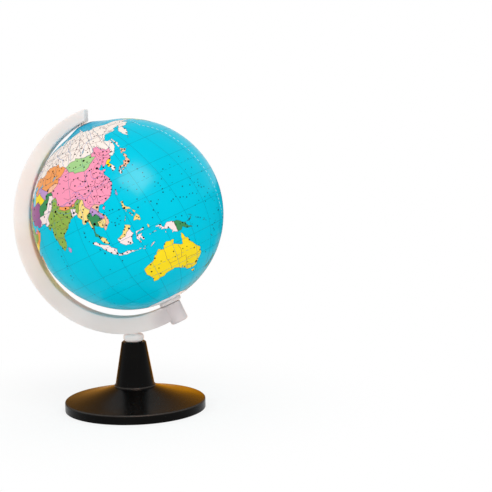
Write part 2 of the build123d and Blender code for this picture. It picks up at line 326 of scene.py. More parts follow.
# Shores as the draughtsman sets them out: longitude and latitude in degrees, round each land.
coasts = {
    "europe_and_asia":
        "-5.6 36 -6.4 36.8 -7.4 37.2 -8.9 37 -8.7 38.4 -9.5 38.7 -8.8 40.2 -8.8 41.8 -9.3 43 -7.9 43.8"
        " -5.8 43.6 -3.8 43.5 -1.8 43.4 -1.2 44.6 -1.2 46 -2.2 47.1 -4.4 47.9 -4.7 48.5 -3 48.8 -1.6 48.6"
        " -1.8 49.7 -.2 49.3 1.6 50.8 3.2 51.4 4.5 52.3 4.9 53.2 7 53.6 8.6 53.9 8.9 54.9 8.1 55.6 8.2 56.8"
        " 10.6 57.7 10.4 56.5 10.9 56.4 9.8 55.3 10 54.6 11 54 12.5 54.4 14.2 53.9 16.5 54.5 18.6 54.7 19.8"
        " 54.5 21.1 55.6 21.1 57 22.6 57.7 24.2 57.1 24.3 58.3 23.5 59.2 26.5 59.5 30.2 59.9 28.5 60.6 25"
        " 60.2 22.9 59.9 21.4 61 21.4 62.8 24.6 64.9 25.4 65 24.1 65.8 22 65.4 21 64.3 18 62.5 17.2 61 18.9"
        " 60 18.2 59 16.7 57.5 15.9 56.2 14.2 55.5 12.9 55.5 12 57.2 11.2 58.9 10.6 59.6 9.5 58.9 7.1 58"
        " 5.6 58.8 5 60.6 5.3 62.1 8 63.4 10 64.2 12.5 66 14.5 67.6 16.5 68.6 19 69.9 23 70.8 25.8 71.1"
        " 28.5 70.8 31 70.3 33.5 69.4 41 67.2 40.5 66.4 35 66.4 32.5 67.1 34.8 64.5 37.8 63.9 37 65.1 40"
        " 64.6 40.3 65.8 42.2 66.4 44 66 44.2 67 43.5 68.6 46.5 68 46 66.9 49 67.8 53.5 68.4 58 69 60.5"
        " 68.8 61 69.8 65 69.2 67 68.8 69 68.8 67 69.7 66.8 71.2 69 72.9 72.8 72.8 72.5 71 72 68.5 73.5"
        " 68.3 74.5 72.5 80.5 72.2 80.8 73.5 87 75 98 76.2 104.2 77.7 113 75.9 110 74 113 73.9 119 73 123.5"
        " 73 127 73.5 129.5 71 134 71.5 140 72.5 150 71.5 160 69.8 170 69.9 176 69.8 180 69 185 67.4 190"
        " 66.1 187.5 64.4 182 65.4 177.5 64.7 179.5 62.5 174.5 61.8 170.3 60 165.5 60 163.2 58 163.2 56.1"
        " 161.6 55 159.9 53.2 158.4 52.6 156.7 51 155.6 54 155.9 57 158.5 58.8 161.8 60.5 163.7 61.8 164.2"
        " 62.5 160.3 61.5 156.5 61.5 155 59.4 151 59.1 148.5 59.4 143 59.3 140 57.7 137.5 55.5 135.2 54.7"
        " 137.5 53.7 141.2 53.2 140.6 51 140.4 49 138.5 46.8 135.8 44 133 42.8 131.9 43.2 130.7 42.3 129.7"
        " 41.5 129.8 40.9 127.6 39.8 127.4 39.2 128.4 38.5 129.5 37 129.4 35.4 127.8 34.7 126.4 34.4 126.5"
        " 36.6 126.8 37.4 125 37.8 125.3 39.4 124.3 39.9 121.3 38.8 121.5 39.7 122.1 40.6 120.8 40.6 119.3"
        " 39.5 117.8 39.1 118.2 38.1 119.2 37.4 120.8 37.8 122.6 37.3 120.5 36.2 119.3 35.1 120.4 34.1"
        " 121.8 31.9 121.9 31 120.8 30.3 122 29.7 121.5 28.5 119.7 26.3 118.1 24.4 116.6 23.1 114.3 22.3"
        " 113.4 22.1 110.5 21.2 110.3 20.4 109.8 21.5 108.2 21.6 106.8 20.8 105.7 19 106.6 17.5 108.3 16.1"
        " 109.3 13.4 109 11.4 107.2 10.4 106.6 9.6 105 8.6 104.9 10.1 103.6 10.6 102.6 11.9 101 12.7 100.5"
        " 13.5 100 12.5 99.3 10.5 99.3 9.3 100.4 8 100.8 6.9 102.1 6.2 103.4 4.8 103.5 2.6 104.2 1.4 103.4"
        " 1.4 101.4 2.8 100.4 5.4 100.1 6.5 98.3 8 98.6 10 98.7 11.8 98 14 97.6 16.4 96.3 16.5 95.4 15.8"
        " 94.3 16 94.4 18.8 92.3 20.8 91.8 22.4 90.5 22.2 89 21.7 87 21.4 86.8 20.4 85 19.3 82.3 16.7 80.3"
        " 15.6 80.2 13.4 79.9 10.3 78.3 8.9 77.5 8.1 76.3 9.9 74.8 12.9 73.5 16 72.8 19 72.8 21.3 72.3 22.2"
        " 71 20.7 69 22.3 70.3 22.9 68.6 23.4 67 24.8 66.4 25.5 61.6 25.1 57.8 25.6 56.9 27 54.5 26.6 51.5"
        " 27.8 50.1 30.1 48.6 30 48 29.4 48.8 27.6 50.1 26.4 50.8 25 51.3 26 51.6 24.9 51.6 24.2 54.4 24.5"
        " 56.2 26.2 56.5 24.5 58.6 23.6 59.8 22.5 58.5 20.4 57.7 18.9 55.2 17.5 52.2 15.6 49 14.3 45 12.8"
        " 43.4 12.7 42.7 15.2 42.5 16.8 40.6 19.8 39.1 21.4 37.2 24.4 35 27.9 34.9 29.5 34.3 27.8 32.6 29.9"
        " 32.3 31.2 34.2 31.3 35.1 33.1 35.9 34.8 36 36.5 34.6 36.7 32.5 36.1 30.6 36.8 29 36.5 27.4 36.8"
        " 26.3 38.5 26.2 39.6 26.3 40.3 26 40.8 24.4 40.8 24 40 22.9 40.5 22.9 39.3 24 38.2 24 37.7 23 37.9"
        " 23.1 36.5 22.4 36.5 21.6 36.9 21.2 38.2 20 39.6 19.4 40.4 19.5 41.8 18.4 42.5 16.4 43.5 14.9 45"
        " 13.6 44.9 13.6 45.7 12.3 45.3 12.4 44.2 13.6 43.5 15 42 16.1 41.8 18.4 40.1 17 40.4 16.6 39.6"
        " 17.1 39 15.7 37.9 15.8 40 14.3 40.8 12.3 41.7 10.4 42.9 10 44 8.8 44.4 7.4 43.7 5.3 43.3 3.2 43.2"
        " 3.2 42.2 .7 40.8 -.3 39.4 .1 38.7 -.7 37.6 -2.1 36.8 -4.4 36.7",
    "africa":
        "-5.9 35.8 -2.1 35.1 1 36.4 5 36.8 9.8 37.3 11 37 10.2 34.3 11.2 33.2 15.2 32.3 15.7 31.3 19 30.3"
        " 20.1 32.2 21.7 32.9 23.2 32.2 25.2 31.6 29 30.9 31 31.6 32.3 31.2 32.6 29.9 33.6 27.8 35.5 24 37"
        " 21 37.3 19 38.6 18 39.5 15.6 42.5 12.5 43.3 11.5 44.3 10.5 47 11.2 51.2 11.8 50.8 9.4 48 4.5 46"
        " 2.4 42 -1 40.2 -2.6 38.8 -6.1 39.5 -7 40.5 -10.5 40.7 -15 36.9 -17.9 34.8 -19.9 35.5 -22 35.4 -24"
        " 32.8 -25.8 32.4 -28.5 30 -31.3 27 -33.6 25.6 -34 22 -34.2 20 -34.8 18.4 -34.2 18.2 -32 16.5 -28.6"
        " 15 -26.3 14.5 -22.6 12 -18 11.8 -16 13.5 -12.5 13.2 -9 12.2 -6 11 -3.7 9 -1 9.6 1 9.6 3.6 8.6 4.7"
        " 6 4.3 4.4 6.4 1.2 6.1 -2 4.8 -4 5.3 -7.6 4.4 -11.4 6.8 -13.3 8.9 -15 10.8 -16.8 12.4 -17.5 14.7"
        " -16.3 19 -17 21 -16 23.7 -14 26.2 -13 27.8 -10 29.5 -9.8 31.5 -8.5 33.3 -6.8 34.1",
    "americas":
        "-168 65.6 -166.5 68.3 -163 69.5 -156.5 71.3 -150 70.5 -141 69.7 -135 69.3 -128 70.3 -124.5 70"
        " -120 69.6 -115 68.5 -108.5 68 -102 67.8 -96 68.2 -95.5 71.8 -92.5 70.5 -91.5 69.5 -88 68.5 -86"
        " 67.5 -81.5 69 -82 67 -86.5 66.2 -88 64 -93.5 62 -94.7 59 -92.5 57 -88 56.5 -82.3 55.2 -82.2 53"
        " -80 51.4 -78.8 52.5 -79.5 54.6 -76.8 57 -78.3 60 -77.5 62.4 -73.7 62.3 -70 61 -69.5 59 -66 58.8"
        " -64.6 60.3 -61.5 57 -57.5 54.6 -55.7 52.5 -58.8 51.3 -65 50.2 -66.5 49.9 -69.5 48.2 -65 49.2"
        " -64.5 47.5 -64 46.2 -61.5 45.8 -60.2 46.8 -61 45.2 -63.5 44.5 -66 43.6 -65 45.2 -67 44.8 -70 43.7"
        " -70.8 42.5 -70 41.7 -72 41.2 -74 40.5 -74.9 38.9 -75.8 37.2 -75.6 35.3 -77.9 33.9 -80.9 32 -81.4"
        " 30.4 -80.1 26.8 -80.4 25.2 -81.8 26 -82.7 28 -84 30 -85.3 29.7 -88 30.3 -89.4 29.1 -91.5 29.5"
        " -94.5 29.4 -97.2 27.7 -97.5 25 -97.7 22.3 -96.3 19.3 -94.5 18.2 -91.8 18.6 -90.4 20.5 -87 21.5"
        " -87.6 19 -88.2 17 -88.7 15.8 -85.8 15.9 -83.2 15 -83.6 12.5 -83.5 10.7 -81.5 9 -79.6 9.5 -77.4"
        " 8.6 -76.5 8.8 -75.5 10.6 -72.2 12.1 -71.5 11 -70 12 -68 10.6 -64.5 10.3 -62 10.6 -60 8.5 -57 6"
        " -52.5 5.2 -51.5 4.2 -50 1 -48.5 -.8 -44.3 -2.6 -40 -2.9 -35.3 -5.2 -34.9 -8 -37 -11 -38.7 -13"
        " -39.2 -17.5 -40.9 -22 -43.5 -23 -46.5 -24.2 -48.6 -26 -48.7 -28.5 -52.2 -32.2 -54 -34.6 -56.2"
        " -34.9 -58.3 -34.2 -57 -36.5 -57.7 -38.2 -62 -39 -62.5 -41 -65 -41 -63.8 -42.6 -65.3 -45 -67.5"
        " -46.2 -65.8 -47.8 -69 -50.5 -68.3 -52.4 -65.2 -54.7 -69 -55.6 -72 -54 -75 -51.5 -75.6 -48 -74.5"
        " -44 -73.6 -41.5 -73.5 -37.2 -71.6 -33 -71.4 -30 -70.4 -23.5 -70.3 -18.5 -75 -15.5 -76.3 -13.8 -79"
        " -8.2 -81.2 -6 -81.2 -4.6 -79.9 -2.6 -80.9 -1 -80 .8 -78.8 1.7 -77.5 3.8 -77.4 6.5 -78.3 8 -79 8.9"
        " -80.4 8.2 -80.2 7.4 -82.8 8.2 -84 9.6 -85.8 10.2 -87.3 12.5 -89.5 13.4 -92.3 14.5 -94.5 16.2 -97"
        " 15.9 -101.5 17.6 -105.5 20.3 -105.3 21.7 -107 23.8 -109.4 25.7 -112 28.5 -113.2 31.2 -114.7 31.8"
        " -114 30 -111.5 26 -109.5 23.2 -112.2 25 -115 27.8 -115.8 30.2 -117.1 32.5 -118.5 34 -120.6 34.6"
        " -122.4 37.5 -124.3 40.3 -124 44 -124.7 48.4 -122.8 48.9 -125 50.3 -128 51.8 -130.5 54.5 -133.5 57"
        " -136.5 58.5 -140 59.8 -146 60.8 -149.5 59.9 -151.8 59.2 -151.5 61 -154 59 -158.5 56 -163.5 54.8"
        " -161 55.9 -157.5 58.7 -162 58.7 -162 60 -165.5 61.2 -164.7 63 -161 63.6 -161 64.5 -166 64.5",
    "australia":
        "113.7 -22.6 114.2 -21.8 116.8 -20.6 119 -20 121.5 -18.9 122.2 -17.6 123 -16.4 124.5 -16.3 125.5"
        " -14.5 126.9 -13.8 128.3 -14.9 129.6 -14.9 130.8 -12.4 132.5 -11.5 135.5 -12 136.9 -12.2 135.5"
        " -14.8 137.5 -16 139.3 -17.4 140.9 -17.5 141.6 -15 141.6 -12.8 142.5 -10.7 143.5 -13 143.8 -14.4"
        " 145.3 -15.2 146 -18 148 -20 149.5 -22.2 150.8 -23.4 153.1 -25.5 153.6 -28.6 152.5 -32.3 151.2"
        " -33.9 150 -37.3 146.4 -39 144.5 -38.2 143.5 -38.8 140.5 -38 139.6 -36 138.2 -35.6 138.4 -34.8 137"
        " -35.2 137.8 -32.7 135.9 -34.8 134.2 -32.9 131.2 -31.5 128 -32.1 126 -32.3 124 -33 123.5 -33.9 120"
        " -33.9 118 -35 115.1 -34.3 115.7 -32 114.9 -29.5 114.1 -27.5 113.4 -26 113.6 -24.5",
    "antarctica":
        "-169 -78.2 -160 -78.5 -150 -77 -135 -74.5 -115 -74 -100 -72.5 -85 -73 -75 -71 -68 -68 -62 -64.5"
        " -57 -63.3 -60 -66 -62 -70 -61 -74.5 -70 -76.5 -60 -80 -40 -78 -27 -76 -15 -72.5 0 -70.3 15 -69.8"
        " 35 -69.5 50 -66.5 60 -67.3 70 -69.5 80 -67.5 95 -66.5 110 -66.2 125 -66.5 140 -66.6 150 -68.5 165"
        " -70.8 170 -72 164 -76 167 -78 180 -78.3 191 -78.2 191 -90 -169 -90",
    "greenland":
        "-73 78.2 -68 76 -60 76 -54.5 72.5 -51 69.5 -53.7 66.5 -51.5 64 -48.5 61 -44 60 -42 62.5 -40 65"
        " -32 68.1 -22.5 70.2 -21.5 73.5 -19.5 76.5 -18 80 -12 81.5 -30 83.4 -45 82.5 -60 82 -66 80.5",
    "baffin":
        "-90 73.5 -80.5 73.7 -76 72.7 -68 70.2 -61.5 66.7 -65 63.5 -65.5 62.2 -71 63 -78 64.5 -73 67 -77"
        " 69.5 -86 70.2 -89 71.2",
    "victoria": "-117 69.5 -105.5 69.2 -104.5 71.5 -110 73 -117.5 73",
    "ellesmere": "-90 77 -79 76.3 -75.5 78.7 -62 82.4 -71 83.1 -92 81.5 -86 79.5",
    "banks": "-125 72 -123.5 74.2 -118 73.5 -121 71.4",
    "devon": "-93 74.8 -80 74.7 -80.5 76 -92 76.3",
    "melville": "-122 76 -105 75.5 -96 76.8 -112 78.5",
    "newfoundland": "-59.3 47.7 -55.5 51.4 -53 48.5 -53.5 46.8 -56 46.9",
    "vancouver": "-128.3 50.7 -125.3 50.2 -123.4 48.4 -126 49.2",
    "cuba": "-84.9 21.9 -82.5 23.1 -80 23 -77 21.6 -74.2 20.2 -77.5 19.9 -78.5 21.2 -82 22.4",
    "hispaniola": "-74.4 18.4 -73 19.9 -69.9 19.7 -68.4 18.6 -71 17.9",
    "jamaica": "-78.3 18.3 -76.3 18.2 -77.2 17.8",
    "puerto_rico": "-67.2 18.4 -65.7 18.3 -66.5 17.9",
    "falkland": "-61 -51.5 -58 -51.5 -59 -52.3",
    "britain":
        "-5.6 50.1 1.4 51.2 1.7 52.7 .2 53.2 -1.6 55.3 -2 57.5 -4 57.7 -3.1 58.6 -5 58.5 -6.1 56.7 -4.8"
        " 54.8 -3 54 -4.5 53.2 -5.2 51.8 -3.2 51.4",
    "ireland": "-6 52.2 -9.8 51.5 -10 54.2 -7.5 55.3 -5.6 54.6",
    "iceland": "-22.5 63.9 -18.5 63.4 -13.6 65 -16 66.5 -20 66 -24.3 65.5",
    "spitsbergen": "14 77 18 76.7 22 78.5 27 80.1 12 79.7",
    "novaya": "52 71.2 57.5 70.7 56 73.2 68.5 76.8 60 76 54 73",
    "severnaya": "95 79.2 101 78 105 79 98 81",
    "new_siberian": "137.5 75.4 143 75 150.5 75.1 141 73.9",
    "zealand": "11.2 55.7 12.6 56 12.2 54.9",
    "sicily": "12.5 38 15.5 38.2 15.1 36.7",
    "sardinia": "8.3 40.9 9.5 41 9.6 39.2 8.5 38.9",
    "corsica": "8.7 42.6 9.5 42.9 9.2 41.4",
    "crete": "23.6 35.5 26.2 35.2 24.8 34.9",
    "cyprus": "32.4 35 34.5 35.6 33.5 34.6",
    "madagascar":
        "49.3 -12 50.5 -15.5 49.5 -18 47 -25 45.2 -25.5 43.5 -23 44.4 -20 44 -17 46.5 -15.7 48 -13.5",
    "socotra": "53.3 12.7 54.5 12.5 53.8 12.3",
    "sakhalin": "142 46 143.5 46.8 142.6 47.6 144.5 49 143.3 52 142.6 54.3 141.8 53 142.1 50 141.9 48",
    "hokkaido":
        "140 41.5 141.2 42.4 143.3 42 145.6 43.3 143.5 44.2 141.7 45.5 141.4 43.3 140.3 43.2 139.8 42.3",
    "honshu":
        "130.9 34 132.5 35.4 136 35.7 136.8 37.3 138.6 37.3 139.9 39.3 140 40.6 141.2 41.4 142 39.6 141"
        " 38.2 140.8 35.7 139.8 35 138.3 34.6 136.9 34.3 135.8 33.5 135 34.5 133 34.3",
    "shikoku": "132.2 33.3 134.5 34.2 134.2 33.3 132.9 32.8",
    "kyushu": "129.8 33.3 131 33.9 132 33.2 131.4 31.5 130.2 31.2 130 32.5",
    "okinawa": "127.6 26.1 128.3 26.9 127.9 26.2",
    "iturup": "146.9 44.4 149 45.6 147.6 44.6",
    "onekotan": "154.5 49.2 156.2 50.8 155 49.3",
    "taiwan": "121.5 25.2 122 24.9 120.9 22 120.2 23.2",
    "hainan": "108.7 19.2 109.6 20 111 19.9 109.6 18.2",
    "jeju": "126.2 33.3 126.9 33.5 126.5 33.2",
    "luzon":
        "120.6 18.5 122.2 18.4 121.6 16 123.9 13.8 124 12.7 122.5 13.6 120.7 13.8 120.1 15 120.3 16.2",
    "samar": "124.4 12.5 125.6 11.2 124.9 10.2 124.4 11.2",
    "panay": "122 11.8 123.1 11.4 122 10.5",
    "negros": "123 10.9 123.3 9.3 122.5 9.7",
    "palawan": "117.2 8.4 119.5 11.3 119.2 10.3",
    "mindoro": "120.5 13.4 121.5 13.1 121.2 12.3",
    "mindanao": "123.4 8.6 125.4 9.8 126.4 8 126.1 6.4 125.4 5.7 124 6.8 122.1 7",
    "borneo":
        "109 1.5 109.7 2 111.3 2.5 113.1 3.2 115 5 116.8 7 119.2 5.3 117.8 3.7 118 2.2 119 1 117.5 .3"
        " 116.5 -1.5 116 -3.9 114.6 -4.1 113 -3.3 111.7 -3.3 110.1 -1.5 109.1 .2",
    "sumatra":
        "95.3 5.6 97.5 5.2 98.7 3.8 100.4 2.2 103.3 .5 103.8 -1 106 -3 105.8 -5.8 104.5 -5.8 102.3 -4"
        " 100.4 -1 98.8 1.7 97.2 3.2 95.5 4.8",
    "bangka": "105.2 -1.7 106.7 -2.9 106 -2.8",
    "nias": "97.2 1.4 97.9 .7 97.6 .6",
    "siberut": "98.7 -1 99.4 -2 98.9 -1.6",
    "java":
        "105.2 -6.8 106.1 -5.9 108.5 -6.6 110.9 -6.4 112.7 -7 114.5 -7.8 114.4 -8.7 111 -8.3 108.5 -7.8"
        " 106.4 -7.4",
    "bali": "114.6 -8.2 115.6 -8.3 115.1 -8.8",
    "lombok": "115.9 -8.8 116.3 -8.3 116.6 -8.8",
    "sumbawa": "116.8 -8.7 118 -8.2 119.2 -8.5 117.8 -8.9",
    "flores": "119.9 -8.6 122.9 -8.2 121 -8.9",
    "sumba": "119 -9.5 120.2 -9.4 120.8 -10.2",
    "timor": "123.5 -10.3 125 -8.8 127.2 -8.4 125.2 -9.7",
    "celebes":
        "119.6 -.1 120.2 1.2 122.5 1 125.2 1.6 124.3 .4 121 .5 120.1 -.9 121.2 -.9 123.3 -.8 121.7 -1.9"
        " 122.4 -3.4 122.8 -4.5 121.6 -4.6 121 -2.8 120.4 -3.2 120.4 -5.5 119.5 -5.4 119.5 -3.5 118.8 -2.7",
    "halmahera": "127.5 1.9 128 2.2 128.6 1 127.9 .3 128.3 -.8 127.6 .2",
    "seram": "128 -3.2 129 -2.9 130.8 -3.4 129.3 -3.4",
    "buru": "126.1 -3.2 127.2 -3.3 126.6 -3.8",
    "aru": "134.2 -6 134.8 -5.7 134.4 -6.9",
    "new_guinea":
        "131 -.8 134.1 -.8 134.4 -2.8 135.2 -3.3 137.8 -1.5 141 -2.6 144.5 -3.9 145.8 -5.4 147.8 -6.2 147"
        " -6.8 148.5 -9 150.8 -10.4 147.2 -9.6 144.5 -7.7 143.2 -9.2 140.9 -9.1 139 -8.1 137.7 -8.4 138.5"
        " -7 137.5 -5 135 -4.4 132.8 -4 133.8 -3 132 -2.8 133.3 -2.2 131.2 -1.5",
    "new_britain": "148.4 -5.7 150.5 -5.5 152.2 -4.2 151.5 -5.6 149.6 -6.3",
    "new_ireland": "150.8 -2.6 152.2 -3.3 153 -4.6 152.1 -3.6",
    "bougainville": "154.7 -5.5 155.9 -6.7 155.1 -6.3",
    "guadalcanal": "159.6 -9.3 160.8 -9.8 159.9 -9.8",
    "malaita": "160.6 -8.3 161.5 -9.6 160.8 -9",
    "new_caledonia": "164 -20.2 165.6 -21.2 167 -22.3 165.2 -21.5",
    "viti_levu": "177.3 -17.7 178.6 -17.7 178 -18.2",
    "vanua_levu": "178.6 -16.9 179.9 -16.3 179.3 -16.8",
    "espiritu": "166.6 -14.8 167.2 -15.3 166.8 -15.6",
    "tasmania": "144.7 -40.8 148.3 -40.9 148 -43.1 146.8 -43.6 145.3 -42.2",
    "north_island":
        "172.7 -34.5 174.8 -36.5 175.8 -36.8 176.8 -37.9 178.5 -37.7 177.9 -39.2 176.9 -39.6 175.3 -41.6"
        " 174.8 -41.3 175.1 -40.1 173.8 -39.3 174.7 -38 174.6 -36.8",
    "south_island":
        "172.7 -40.5 174.2 -41.7 172.8 -43.8 171.2 -44.4 170.6 -45.9 168.4 -46.6 166.5 -45.9 168.3 -44 171"
        " -42.5",
    "sri_lanka": "80 9.8 81.2 8.6 81.9 7.3 80.6 5.9 79.8 7.5",
    "andaman": "92.7 11.7 93 13.4 92.9 12.2",
    "hawaii": "-156 19.8 -155 19.6 -155.7 19",
    "oahu": "-158.2 21.5 -157.7 21.4 -158 21.2",
    "kerguelen": "68.8 -48.8 70.4 -49 69.6 -49.6",
}

# Inland waters.
lakes = {
    "black_sea":
        "29.1 41.3 31.4 41.3 33.3 42 35.1 42 37 41.1 39.5 41.1 41.6 41.6 41 43 38.3 44.4 37 45.2 38.9 46.3"
        " 39.3 47.1 37 46.9 35 46.2 35.5 45.4 36.5 45.3 35.3 45 34 44.4 32.6 45.4 33.5 46.1 31.5 46.6 29.7"
        " 45.2 28.6 43.8 27.7 42.6 28.1 41.6",
    "caspian":
        "51 47 53 46.6 53 45.3 51 44.5 50.3 44.3 51 43.2 52.5 42.6 52.7 41.6 52.9 40 53.6 39 53.9 37 51.5"
        " 36.7 49.5 37.5 48.9 38.5 49.8 40.3 48 42 47.5 43.2 46.7 44.6 48.5 46.2",
    "aral": "58.5 45.5 60.5 46.5 61.5 45.5 59.5 44",
    "balkhash": "73.5 45 74.5 46.5 79 46.8 75.5 45.8",
    "baikal": "104 51.5 106 52.2 108.6 53.3 109.8 55.5 108.9 55.1 107.1 53.2 105 51.9",
    "ladoga": "30.5 60.2 32.5 60.4 31.5 61.6",
    "onega": "34.5 61.2 36 61.1 35.3 62.6",
    "victoria_nyanza": "31.8 -.8 33.8 .2 33.4 -2.2 32 -2.4",
    "tanganyika": "29.2 -3.5 29.7 -4 30.9 -8.6 30.4 -8.2",
    "nyasa": "34.1 -9.8 34.7 -12 35 -14.2 34.3 -12.3",
    "chad": "13.4 13.3 14.6 13.4 14.2 12.7",
    "superior": "-92 46.7 -88.5 48.8 -84.6 46.6 -87.5 46.5",
    "michigan": "-87.8 42 -88 44.5 -85.2 45.9 -86.3 43.5 -86.7 41.7",
    "huron": "-84.5 45.9 -81 46 -80 44.6 -82.4 43.1 -83.3 45",
    "erie": "-83.3 41.7 -81 42.6 -79 42.8 -81.5 41.5",
    "ontario": "-79.7 43.3 -76.3 43.9 -77 43.3",
    "winnipeg": "-98.8 53.8 -97 52 -96.5 50.5 -97.5 52.5",
    "great_slave": "-117 61.2 -113 62.2 -109.5 62.8 -113 61",
    "great_bear": "-124 66 -120.5 67 -118.5 66 -121.5 65",
    "titicaca": "-70 -15.4 -69 -16.3 -69.6 -16.2",
}

